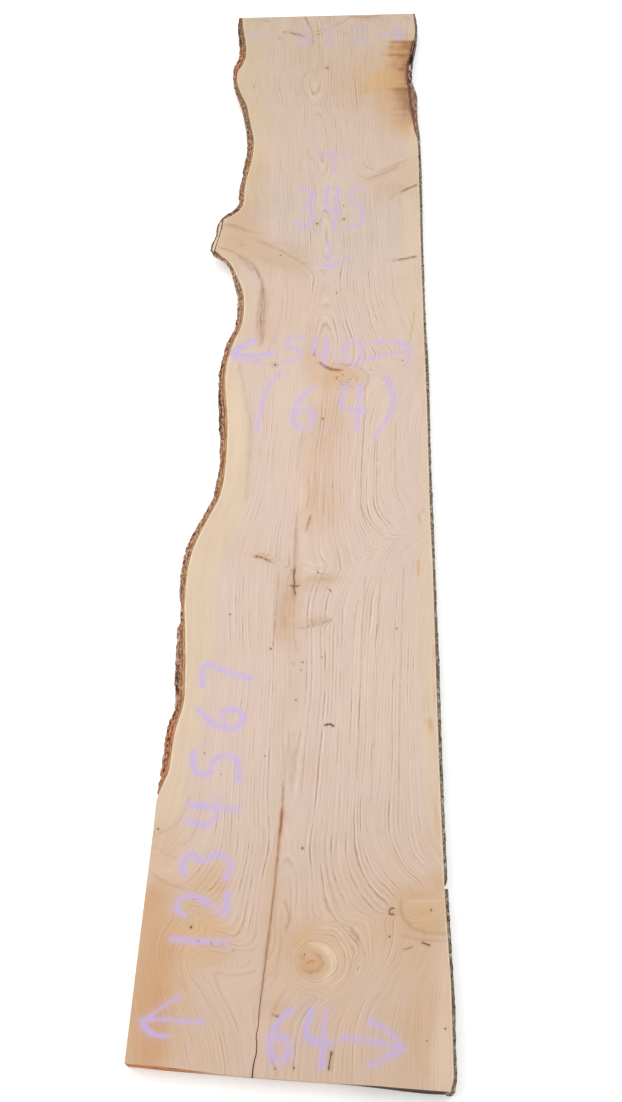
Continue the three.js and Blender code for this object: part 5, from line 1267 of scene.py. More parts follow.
# ------------------------------------------------------------------------------------------------ bark
def bark_strip(name, y0, y1, sign, material, spacing, top_rows, out_rows, relief, seed, upper_right=False):
    """A strip of bark: closed cross-sections from the wood's side to the rough outer side, swept along the edge."""
    fine = np.linspace(y0, y1, 4000)
    if sign < 0:
        ys = even(fine, table(LEFT_BARK, fine) * .8, spacing)
        levels, stub = left_levels(ys)
        outer_top = smooth_table(LEFT_BARK, ys, .10)
        outer_low = smooth_table(LEFT_BOTTOM, ys, .4)
    else:
        ys = even(fine, fine * 0, spacing)
        levels = right_levels(ys)
        stub = np.zeros(len(ys), bool)
        outer_top = smooth_table(RIGHT_BARK, ys, .3)
        outer_low = outer_top - .14
    n = len(ys)
    inner = []
    for k in (1, 2, 3):
        p = levels[k].copy()
        t = np.gradient(p[:, :2], axis=0)
        t /= np.maximum(np.hypot(t[:, 0], t[:, 1]), 1e-9)[:, None]
        gap = np.where(stub & (k == 1), 2.2, 1.) * GAP
        p[:, 0] += sign * t[:, 1] * gap
        p[:, 1] += -sign * t[:, 0] * gap
        p[:, 2] -= np.where(stub & (k == 1), GAP, 0)
        inner.append(p)
    least = .16 if sign < 0 else .13
    if sign > 0:
        xt = np.maximum(outer_top, inner[0][:, 0] + least)
        xb = np.maximum(outer_low, inner[2][:, 0] + least)
    else:
        xt = np.minimum(outer_top, inner[0][:, 0] - least)
        xb = np.minimum(outer_low, inner[2][:, 0] - least)
    t = MID / THICK
    xm = xt + (xb - xt) * t + sign * .06
    m_least = inner[1][:, 0] + sign * (least + .1)
    xm = np.maximum(xm, m_least) if sign > 0 else np.minimum(xm, m_least)
    if sign < 0:
        near = step(83.6, 84.4, ys) * (1 - step(95.1, 95.9, ys))
        other = np.minimum(inner[1][:, 0] - .38, xt + (xb - xt) * .8)
        xm = xm * (1 - near) + other * near
    outer = [np.stack([xt, inner[0][:, 1], inner[0][:, 2]], 1),
             np.stack([xm, inner[1][:, 1], np.full(n, -MID)], 1),
             np.stack([xb, inner[2][:, 1], np.full(n, -THICK)], 1)]

    def along(points, v):
        """A point of a three-point side at v from 0 (upper) to 1 (lower), rounded through the middle."""
        a, b, c = points
        v = v[None, :, None]
        m = .58
        straight = np.where(v < m, a[:, None] + (b - a)[:, None] * (v / m), b[:, None] + (c - b)[:, None] * ((v - m) / (1 - m)))
        quad = a[:, None] * (1 - v) ** 2 + 2 * v * (1 - v) * (2 * b - .5 * (a + c))[:, None] + c[:, None] * v ** 2
        return .5 * straight + .5 * quad

    vo = np.linspace(0, 1, out_rows)
    vi = np.linspace(0, 1, 8)
    out_side = along(outer, vo)                                # n, rows, 3
    in_side = np.where(vi[None, :, None] < .6, inner[0][:, None] + (inner[1] - inner[0])[:, None] * (vi / .6)[None, :, None],
                       inner[1][:, None] + (inner[2] - inner[1])[:, None] * ((vi - .6) / .4)[None, :, None])
    w = np.abs(xt - inner[0][:, 0])
    # relief of the outer side: scaly plates along the trunk, parted by furrows, with finer flakes on them
    y = out_side[:, :, 1]
    z = out_side[:, :, 2]
    girth = -z + .15 * noise(y * .7, z * .7, 0, seed)
    bend = .25 * fbm(y * .5, girth * .8, 0, 3, seed + 1)
    border, tone = plates(y / 1.75 + bend + 50, girth / .46 + bend * 1.8 + 50, seed + 2)
    border2, tone2 = plates(y / .62 + 80 + bend * 2, girth / .20 + 80 - bend * 2, seed + 3)
    furrow = 1 - step(.02, .26, border)
    crumb = fbm(y * 5.5, girth * 7.5, 0, 4, seed + 4)
    lift = relief * (.55 * (1 - furrow) - .62 * furrow + .42 * (tone - .5) + .30 * step(.02, .25, border2) + .22 * (tone2 - .5)
                     + .42 * crumb + .3 * fbm(y * 1.1, girth * 1.4, 0, 3, seed + 5) - .2)
    room = np.abs(out_side[:, :, 0] - np.stack([np.interp(z[i], in_side[i, ::-1, 2], in_side[i, ::-1, 0]) for i in range(n)]))
    lift = np.maximum(lift, -.55 * (room - .05))
    lift *= (.45 + .55 * step(0, .12, vo))[None, :]
    # a weight that falls to nothing at the strip's ends; nothing below uses it
    ends = np.minimum(step(0, .5, ys - y0), step(0, .35, y1 - ys))
    d = np.gradient(out_side, axis=0)
    nx, ny = d[:, :, 1], -d[:, :, 0]
    ln = np.maximum(np.hypot(nx, ny), 1e-9)
    nx, ny = sign * nx / ln, sign * ny / ln
    keep = np.clip(np.abs(nx), .45, 1)
    out_side[:, :, 0] += nx * lift * keep
    out_side[:, :, 1] += ny * lift * keep * .5
    # upper face: sawn, smooth on the inner bark and crumbling outwards
    vt = np.linspace(0, 1, top_rows)[1:-1]
    a, b = in_side[:, 0], out_side[:, 0]
    top = a[:, None] + (b - a)[:, None] * vt[None, :, None]
    yy, xx = top[:, :, 1], top[:, :, 0]
    rough = step(.45, .95, vt)[None, :] * (1 if sign < 0 else 1.)
    pits, _ = plates(yy / .30 + 9, vt[None, :] * w[:, None] / .20 + 9 + .2 * noise(yy * 3, xx * 3, 0, seed), seed + 6)
    dent = .05 * rough * (1 - step(.0, .28, pits)) + .035 * rough * np.clip(fbm(yy * 4, xx * 6, 0, 3, seed + 7), 0, 1) \
        + .008 * np.abs(fbm(yy * 3.0, vt[None, :] * 9, 0, 2, seed + 8))
    if sign > 0:
        dent = .030 * np.abs(fbm(yy * 5, xx * 7, 0, 3, seed + 7)) + .02 * (1 - step(0, .3, pits))
    if upper_right:
        crack = np.exp(-((vt[None, :] - (.30 + .12 * noise(yy * .6, 3, 0, seed + 9))) / .16) ** 2) \
            * np.clip(.65 + .8 * noise(yy * .55, 8, 0, seed + 10), 0, 1)
        hollow = np.exp(-((vt[None, :] - .55) / .35) ** 2) * step(.15, .5, noise(yy * 1.1, 12, 0, seed + 11)) \
            * step(121, 124, yy) * (1 - step(128, 128.8, yy))
        dent = dent + .10 * crack + .35 * hollow
    top[:, :, 2] -= dent
    edge_drop = .03 + .05 * np.abs(noise(ys * 2.3, 0, 0, seed + 12))
    out_side[:, 0, 2] -= edge_drop * (1 if sign < 0 else .6)
    jag = (.075 if sign < 0 else .030) * fbm(ys * 1.9, 0, 0, 3, seed + 13) + (.040 if sign < 0 else .022) * noise(ys * 5.2, 0, 0, seed + 14)
    out_side[:, :3, 0] += sign * (jag * step(0, .8, np.abs(ys - y0)) * np.minimum(1, w / .35))[:, None]
    # lower face and the closed rings
    vb = np.linspace(0, 1, 4)[1:-1]
    low = out_side[:, -1][:, None] + (in_side[:, -1] - out_side[:, -1])[:, None] * vb[None, :, None]
    low[:, :, 2] = -THICK
    out_side[:, -1, 2] = -THICK
    ring = np.concatenate([top, out_side, low, in_side[:, ::-1]], 1)  # from beside the wood over the top, down and back
    m = ring.shape[1]
    p = ring.reshape(-1, 3)
    k_top, k_out, k_low = len(vt), len(vo), len(vb)
    through = np.concatenate([np.tile(vt, (n, 1)), np.ones((n, k_out)), np.tile(1 - vb, (n, 1)), np.zeros((n, len(vi)))], 1)
    part = np.concatenate([np.zeros((n, k_top)), np.ones((n, k_out)), np.zeros((n, k_low)), np.full((n, len(vi)), 2.)], 1)
    part[:, k_top] = .5
    # how deep each point lies in a dent or furrow; the material darkens by it, which is painted shade
    deep = np.concatenate([dent / .06, furrow, np.zeros((n, k_low)), np.zeros((n, len(vi)))], 1)
    toned = np.concatenate([np.full((n, k_top), .5), tone, np.full((n, k_low + len(vi)), .5)], 1)
    faces = []
    i = np.arange(n - 1)[:, None] * m
    j = np.arange(m)[None, :]
    jn = (j + 1) % m
    quads = np.stack([i + j, i + jn, i + m + jn, i + m + j], -1).reshape(-1, 4)
    if sign < 0:
        quads = quads[:, ::-1]
    faces = [tuple(q) for q in quads]
    # end caps: a point in the middle of each end
    caps = []
    for row in (0, n - 1):
        c = ring[row].mean(0)
        c[1] += (.10 if row == 0 else -.10)
        caps.append(c)
        k = len(p) + len(caps) - 1
        for q in range(m):
            a1, b1 = row * m + q, row * m + (q + 1) % m
            f = (k, b1, a1) if row == 0 else (k, a1, b1)
            faces.append(f if sign > 0 else f[::-1])
    p = np.vstack([p] + [c[None] for c in caps])
    extra = np.zeros(2)
    flat = {'layer': np.stack([np.append(through.ravel(), extra + .6), np.append(part.ravel(), extra),
                               np.append(np.clip(deep.ravel(), 0, 1.5), extra + .5)], 1)}
    age = np.repeat(w[:, None], m, 1).ravel()
    s = np.concatenate([[0], np.cumsum(np.hypot(*np.diff(ring[:, k_top, :2], axis=0).T))])
    flat['place'] = np.stack([np.append(np.repeat(s[:, None], m, 1).ravel(), extra), np.append(age, extra + .5),
                              np.append(toned.ravel(), extra + .5)], 1)
    # the bake map: the girth across, the length cut into runs side by side
    step_u = np.concatenate([[0], np.cumsum(np.hypot(*np.diff(ring[:, :, [0, 2]].mean(0), axis=0).T))])
    girth_all = step_u[-1] + .3
    total = s[-1]
    runs = max(1, int(round(math.sqrt(total / (girth_all + .3)))))
    side_len = max(runs * (girth_all + .3), total / runs + .8)
    uv = []
    per = total / runs
    su = np.append(s, s[-1])
    for q in range(n - 1):
        r = min(runs - 1, int((s[q] + 1e-6) / per))
        v0, v1 = s[q] - r * per + .2, s[q + 1] - r * per + .2
        for c in range(m):
            u0 = step_u[c]
            u1 = step_u[c + 1] if c + 1 < m else girth_all - .05
            off = r * (girth_all + .3) + .1
            quad = [(u0 + off, v0), (u1 + off, v0), (u1 + off, v1), (u0 + off, v1)]
            uv += quad if sign > 0 else quad[::-1]
    for _ in range(2 * m):
        uv += [(.02, .02), (.05, .02), (.02, .05)]
    uv = np.array(uv) / (side_len + .2)
    ob = make_mesh(name, p, faces, flat, material, uv, sharp=1.05)
    print(name, len(p), 'points', sum(len(f) - 2 for f in faces), 'triangles')
    return ob


# ------------------------------------------------------------------------------------------------ node materials
class Nodes:
    """Short names for building a material's nodes."""
    def __init__(self, name):
        self.mat = bpy.data.materials.new(name)
        self.mat.use_nodes = True
        self.nt = self.mat.node_tree
        self.nt.nodes.clear()
        self.out = self.nt.nodes.new('ShaderNodeOutputMaterial')
        self.bsdf = self.nt.nodes.new('ShaderNodeBsdfPrincipled')
        self.nt.links.new(self.bsdf.outputs[0], self.out.inputs[0])

    def put(self, socket, value):
        if isinstance(value, bpy.types.NodeSocket):
            self.nt.links.new(value, socket)
        elif isinstance(value, (tuple, list)) and len(value) == 3 and socket.type == 'RGBA':
            socket.default_value = (*value, 1)
        else:
            socket.default_value = value

    def attr(self, name):
        n = self.nt.nodes.new('ShaderNodeAttribute')
        n.attribute_name = name
        return n

    def split(self, vector):
        n = self.nt.nodes.new('ShaderNodeSeparateXYZ')
        self.put(n.inputs[0], vector)
        return n.outputs[0], n.outputs[1], n.outputs[2]

    def join(self, x, y, z=0.):
        n = self.nt.nodes.new('ShaderNodeCombineXYZ')
        for s, v in zip(n.inputs, (x, y, z)):
            self.put(s, v)
        return n.outputs[0]

    def m(self, op, a, b=0., c=0., clamp=False):
        n = self.nt.nodes.new('ShaderNodeMath')
        n.operation = op
        n.use_clamp = clamp
        self.put(n.inputs[0], a)
        self.put(n.inputs[1], b)
        self.put(n.inputs[2], c)
        return n.outputs[0]

    def add(self, a, b): return self.m('ADD', a, b)
    def sub(self, a, b): return self.m('SUBTRACT', a, b)
    def mul(self, a, b): return self.m('MULTIPLY', a, b)
    def fma(self, a, b, c): return self.m('MULTIPLY_ADD', a, b, c)

    def ease(self, a, lo, hi, to0=0., to1=1.):
        n = self.nt.nodes.new('ShaderNodeMapRange')
        n.interpolation_type = 'SMOOTHSTEP'
        for k, v in enumerate((a, lo, hi, to0, to1)):
            self.put(n.inputs[k], v)
        return n.outputs[0]

    def noise(self, vector, scale=1., detail=2., rough=.5, w=None, distortion=0.):
        n = self.nt.nodes.new('ShaderNodeTexNoise')
        if w is not None:
            n.noise_dimensions = '4D'
            self.put(n.inputs['W'], w)
        self.put(n.inputs['Vector'], vector)
        n.inputs['Scale'].default_value = scale
        n.inputs['Detail'].default_value = detail
        n.inputs['Roughness'].default_value = rough
        n.inputs['Distortion'].default_value = distortion
        return n.outputs[0]

    def signed(self, vector, scale=1., detail=2., rough=.5):
        return self.fma(self.noise(vector, scale, detail, rough), 2., -1.)

    def white(self, value, dim='1D'):
        n = self.nt.nodes.new('ShaderNodeTexWhiteNoise')
        n.noise_dimensions = dim
        self.put(n.inputs['W' if dim == '1D' else 'Vector'], value)
        return n.outputs[0]

    def cells(self, vector, scale=1., feature='F1', rand=1.):
        n = self.nt.nodes.new('ShaderNodeTexVoronoi')
        n.feature = feature
        self.put(n.inputs['Vector'], vector)
        n.inputs['Scale'].default_value = scale
        n.inputs['Randomness'].default_value = rand
        return n.outputs[0]

    def mix(self, fac, a, b, mode='MIX'):
        n = self.nt.nodes.new('ShaderNodeMix')
        n.data_type = 'RGBA'
        n.blend_type = mode
        n.clamp_factor = True
        self.put(n.inputs[0], fac)
        self.put(n.inputs[6], a)
        self.put(n.inputs[7], b)
        return n.outputs[2]

    def bump(self, height, distance, strength=1., normal=None):
        n = self.nt.nodes.new('ShaderNodeBump')
        n.inputs['Strength'].default_value = strength
        n.inputs['Distance'].default_value = distance
        self.put(n.inputs['Height'], height)
        if normal is not None:
            self.put(n.inputs['Normal'], normal)
        return n.outputs[0]

    def inches(self):
        """Position on the part, in inches on the slab's own axes."""
        n = self.nt.nodes.new('ShaderNodeTexCoord')
        v = self.nt.nodes.new('ShaderNodeVectorMath')
        v.operation = 'SUBTRACT'
        self.put(v.inputs[0], n.outputs['Object'])
        v.inputs[1].default_value = (X0, Y0, Z0)
        s = self.nt.nodes.new('ShaderNodeVectorMath')
        s.operation = 'SCALE'
        self.put(s.inputs[0], v.outputs[0])
        s.inputs['Scale'].default_value = 1 / IN
        return s.outputs[0]


# colours, linear
HEART = (.620, .480, .404)
CREAM = (.624, .487, .358)
PINK = (.628, .458, .394)
TAN = (.572, .368, .208)
ORANGE = (.556, .298, .142)
PALE = (.765, .600, .425)
GOLD = (.640, .412, .196)
BROWN = (.115, .048, .028)
MID_BROWN = (.285, .158, .090)
RUST = (.455, .178, .078)
STAIN = (.330, .160, .062)
CHALK_COLOUR = (.510, .400, .675)


def wood_material():
    g = Nodes('fir_wood')
    pos = g.inches()
    x, y, z = g.split(pos)
    age, lat, brown = g.split(g.attr('grain').outputs['Vector'])
    sap, tan, orange = g.split(g.attr('tint_a').outputs['Vector'])
    dark, stain, pale = g.split(g.attr('tint_b').outputs['Vector'])
    pink, contrast, gold = g.split(g.attr('tint_c').outputs['Vector'])
    far = g.ease(y, 96., 130.)
    from_left, from_right, maroon = g.split(g.attr('edge').outputs['Vector'])
    chalk_d, chalk_s, rust = g.split(g.attr('chalk').outputs['Vector'])
    stub, stub_edge_shade, end = g.split(g.attr('zone').outputs['Vector'])
    # ---- rings
    slow = g.signed(g.join(g.mul(x, .55), g.mul(y, .10), g.mul(z, .5)), 1., 2.)
    quick = g.signed(g.join(g.mul(x, 2.4), g.mul(y, .42), g.mul(z, 2.)), 1., 3.)
    shake = g.signed(g.join(g.mul(x, 1.6), g.mul(y, 1.15), g.mul(z, 2.)), 1., 2., .6)
    a = g.add(age, g.add(g.mul(slow, .16), g.fma(quick, .055, g.mul(shake, .030))))
    t = g.add(g.mul(a, 2.35), g.mul(g.mul(a, a), .085))
    # each ring is a narrow dark line with a pale line beside it
    q = g.add(t, .30)
    ident = g.m('FLOOR', q)
    r = g.m('FRACT', q)
    own = g.white(ident)
    own2 = g.white(g.add(ident, 71.3))
    late = g.mul(g.ease(r, .04, .26), g.ease(r, .54, .32))
    early = g.mul(g.ease(r, .42, .58), g.ease(r, .90, .64))
    along = g.noise(g.join(g.mul(ident, 7.31), g.mul(y, .22), 0.), 1., 2.5)
    patchy = g.ease(g.noise(g.join(g.mul(x, .85), g.mul(y, .42), 17.), 1., 3., .6), .36, .64, .22, 1.35)
    strong = g.mul(g.fma(g.m('POWER', own, 2.0), 1.15, .14), g.mul(g.ease(along, .30, .66, .22, 1.35), patchy))
    # fine rings between them
    t3 = g.mul(t, 3.)
    r3 = g.m('FRACT', t3)
    fine = g.mul(g.ease(r3, .25, .65), g.ease(r3, 1.0, .75))
    broken = g.noise(g.join(g.mul(g.m('FLOOR', t3), 3.7), g.mul(y, .8), 4.), 1., 2.)
    fine = g.mul(fine, g.mul(g.fma(g.white(g.m('FLOOR', t3)), .8, .2), g.ease(broken, .35, .65, .2, 1.2)))
    calm = g.ease(age, .25, 1.9, .42, 1.)
    contrast = g.mul(contrast, calm)
    line = g.mul(g.add(g.mul(late, strong), g.mul(fine, .40)), contrast)
    light_line = g.mul(g.mul(early, strong), contrast)
    # ---- fibres
    fibre = g.signed(g.join(g.mul(a, 26.), g.mul(y, .55), g.mul(z, .5)), 1., 2., .6)
    fibre2 = g.signed(g.join(g.mul(a, 7.), g.mul(y, .14), 3.), 1., 3., .55)
    fibre3 = g.signed(g.join(g.mul(a, 13.), g.mul(y, .40), 8.), 1., 3., .65)
    cloud = g.signed(g.join(g.mul(x, .22), g.mul(y, .11), g.mul(z, .2)), 1., 3., .55)
    cloud2 = g.signed(g.join(g.mul(x, .8), g.mul(y, .25), 11.), 1., 3., .6)
    bands = g.signed(g.join(g.mul(x, .75), g.mul(y, .045), 21.), 1., 2., .5)
    fibre4 = g.signed(g.join(g.mul(a, 3.6), g.mul(y, .16), 15.), 1., 3., .65)
    # ---- colour
    c = g.mix(g.ease(g.add(pink, g.fma(cloud, .30, g.mul(bands, .30))), .0, .8), HEART, PINK)
    c = g.mix(g.ease(g.fma(own2, .4, g.fma(fibre2, .5, g.mul(bands, -.4))), .15, .75, 0., .45), c, CREAM)
    c = g.mix(g.m('MINIMUM', g.add(g.mul(sap, .95), g.mul(far, .55)), 1.), c, CREAM)
    blotch = g.signed(g.join(g.mul(x, .42), g.mul(y, .13), 41.), 1., 3., .6)
    c = g.mix(g.ease(blotch, .04, .50, 0., .55), c, g.mix(1., c, (1.020, .985, 1.005), 'MULTIPLY'))
    c = g.mix(g.ease(blotch, -.04, -.50, 0., .60), c, g.mix(1., c, (.965, .965, .905), 'MULTIPLY'))
    c = g.mix(g.ease(g.add(g.fma(cloud2, .10, tan), g.mul(fibre2, .05)), .0, 1.0, 0., .95), c, TAN)
    c = g.mix(g.ease(g.fma(cloud2, .10, gold), .0, 1.0, 0., .92), c, GOLD)
    c = g.mix(g.ease(g.fma(fibre2, .10, orange), .0, 1.0, 0., .85), c, ORANGE)
    c = g.mix(g.mul(pale, .85), c, PALE)
    # the pale last ring beside the bark
    lively = g.noise(g.join(g.mul(x, .6), g.mul(y, .8), 31.), 1., 3., .6)
    up = g.ease(z, -.30, -.02)
    rim = g.mul(g.mul(g.ease(from_left, .21, .08), g.ease(y, 20.6, 23.)), g.ease(lively, .34, .56, .30, 1.))
    rim2 = g.mul(g.mul(g.ease(from_right, .17, .05), g.ease(y, 108., 106.)), g.ease(lively, .35, .60, .25, .8))
    c = g.mix(g.mul(g.m('MAXIMUM', rim, rim2), up), c, PALE)
    c = g.mix(g.m('MINIMUM', line, 1.), c, g.mix(1., c, (.660, .580, .500), 'MULTIPLY'))
    c = g.mix(light_line, c, g.mix(1., c, (1.13, 1.17, 1.20), 'MULTIPLY'))
    fibre5 = g.signed(g.join(g.mul(a, 1.5), g.mul(y, .10), 27.), 1., 2., .6)
    shade = g.fma(fibre, .040, g.fma(fibre2, .066, g.fma(fibre3, .085, g.fma(cloud, .026, g.fma(cloud2, .034, 1.)))))
    shade = g.fma(fibre4, .080, g.fma(fibre5, .052, shade))
    c = g.mix(1., c, g.join(shade, shade, shade), 'MULTIPLY')
    c = g.mix(g.m('MINIMUM', g.mul(stain, g.fma(fibre3, .25, 1.)), .95), c, STAIN)
    grained = g.mul(maroon, g.fma(fibre3, .35, 1.))
    c = g.mix(g.ease(grained, .02, .75, 0., .80), c, (.300, .130, .070))
    c = g.mix(g.ease(grained, .45, 1.05, 0., .85), c, (.120, .040, .020))
    seam = g.mul(g.mul(g.ease(from_right, .17, .09), g.ease(y, 108., 110.)), g.ease(y, 129., 128.))
    c = g.mix(g.mul(g.mul(seam, up), .94), c, (.165, .042, .014))
    c = g.mix(g.mul(g.ease(y, 80., 87.), g.ease(y, 103., 97.)), c, g.mix(1., c, (.970, .992, 1.), 'MULTIPLY'))
    # faint saw marks across the slab
    mark = g.noise(g.join(g.mul(x, .06), g.mul(y, 1.7), 5.), 1., 2., .7)
    c = g.mix(g.ease(mark, .60, .78, 0., .10), c, g.mix(1., c, (1.08, 1.09, 1.10), 'MULTIPLY'))
    # ---- the sawn ends and the stub's sawn face
    c = g.mix(g.mul(end, .60), c, g.mix(1., c, (.88, .76, .64), 'MULTIPLY'))
    wide = g.mul(end, g.ease(y, 4., 2.))
    speck = g.noise(g.join(g.mul(x, 1.6), g.mul(y, 2.), g.mul(z, 2.)), 1., 4., .7)
    cloudy = g.signed(g.join(g.mul(x, .55), 7., g.mul(z, .9)), 1., 4., .62)
    rusty = g.mix(g.ease(speck, .55, .62), g.mix(g.ease(cloudy, -.3, .35), (.640, .236, .074), (.520, .205, .076)), (.090, .034, .016))
    wx = g.add(x, g.mul(cloudy, 2.6))
    c = g.mix(g.mul(g.mul(wide, g.ease(wx, 8.6, 3.6)), .94), c, rusty)
    # the right part of the wide end face, near black: painted shadow on the sawn end
    c = g.mix(g.mul(g.mul(wide, g.ease(wx, 14.8, 19.6)), .96), c, g.mix(g.ease(cloudy, -.1, .4), (.036, .011, .006), (.080, .028, .015)))
    arc = g.mul(g.mul(g.add(g.mul(late, g.fma(own, .7, .3)), g.mul(fine, .35)), end), .85)
    c = g.mix(g.m('MINIMUM', arc, 1.), c, g.mix(1., c, (.560, .440, .360), 'MULTIPLY'))
    torn = g.noise(g.join(g.mul(x, 1.3), 3., g.mul(z, 9.)), 1., 3., .7)
    c = g.mix(g.mul(g.ease(torn, .54, .70, 0., .40), end), c, g.mix(1., c, (1.22, 1.25, 1.28), 'MULTIPLY'))
    c = g.mix(g.mul(stub, .75), c, (.640, .510, .370))
    # dark lines along the stub facet's upper arris and lower edge: painted shade
    c = g.mix(g.mul(g.ease(stub_edge_shade, .25, .85), .92), c, (.135, .070, .036))
    # a dark line on the face along the wood's left edge beside the stub: painted shade at the arris
    stub_arris_shade = g.mul(g.ease(g.m('ABSOLUTE', from_left), .11, .05), g.mul(g.ease(y, 87.1, 87.5), g.ease(y, 93.1, 92.8)))
    c = g.mix(g.mul(g.mul(stub_arris_shade, up), .88), c, (.150, .080, .042))
    # ---- marks
    c = g.mix(g.m('MINIMUM', brown, .95), c, MID_BROWN)
    c = g.mix(g.m('MINIMUM', rust, .95), c, RUST)
    c = g.mix(g.m('MINIMUM', dark, .96), c, g.mix(g.ease(g.noise(pos, 3., 2.), .35, .65), BROWN, (.175, .080, .042)))
    # ---- chalk: dusty, catching on the grain; the faintest strokes are the softest
    blur = g.ease(chalk_s, .75, .45)
    dust = g.add(g.mul(g.signed(g.join(g.mul(x, 4.), g.mul(y, 2.2), 1.), 1., 4., .65), g.fma(blur, .12, .10)), g.mul(fibre, .035))
    edge = g.add(chalk_d, dust)
    n = g.nt.nodes.new('ShaderNodeMapRange')
    n.interpolation_type = 'SMOOTHSTEP'
    for k, v in enumerate((edge, g.fma(blur, .34, .10), g.fma(blur, -.16, -.17), 0., 1.)):
        g.put(n.inputs[k], v)
    cover = n.outputs[0]
    gaps = g.ease(g.noise(g.join(g.mul(x, 8.), g.mul(y, 2.6), 2.), 1., 3., .7), .25, .62, .58, 1.)
    worn = g.ease(g.noise(g.join(g.mul(x, .9), g.mul(y, .9), 6.), 1., 2., .5), .30, .62, .74, 1.10)
    cover = g.mul(g.mul(g.mul(cover, gaps), worn), g.mul(chalk_s, g.fma(line, -.35, .95)))
    halo = g.mul(g.ease(g.add(chalk_d, g.mul(dust, 2.)), .60, -.05), g.mul(chalk_s, .16))
    cover = g.m('MAXIMUM', cover, halo)
    c = g.mix(cover, c, g.mix(g.ease(worn, .65, 1.05), (.585, .415, .590), CHALK_COLOUR))
    g.put(g.bsdf.inputs['Base Color'], c)
    # ---- surface
    rough = g.fma(fibre2, .04, g.fma(line, -.08, .66))
    rough = g.m('MAXIMUM', rough, g.mul(cover, .9))
    g.put(g.bsdf.inputs['Roughness'], g.m('MINIMUM', g.fma(end, .25, rough), .95))
    g.bsdf.inputs['Specular IOR Level'].default_value = .24
    saw = g.noise(g.join(g.mul(x, .25), g.mul(y, 9.), g.mul(z, 3.)), 1., 2., .6)
    fuzz = g.noise(g.join(g.mul(x, 22.), g.mul(y, 2.6), g.mul(z, 14.)), 1., 3., .65)
    height = g.add(g.mul(line, .4), g.add(g.mul(fuzz, .45), g.mul(saw, .40)))
    height = g.add(height, g.mul(cover, .25))
    g.put(g.bsdf.inputs['Normal'], g.bump(height, .00045, .5))
    return g.mat


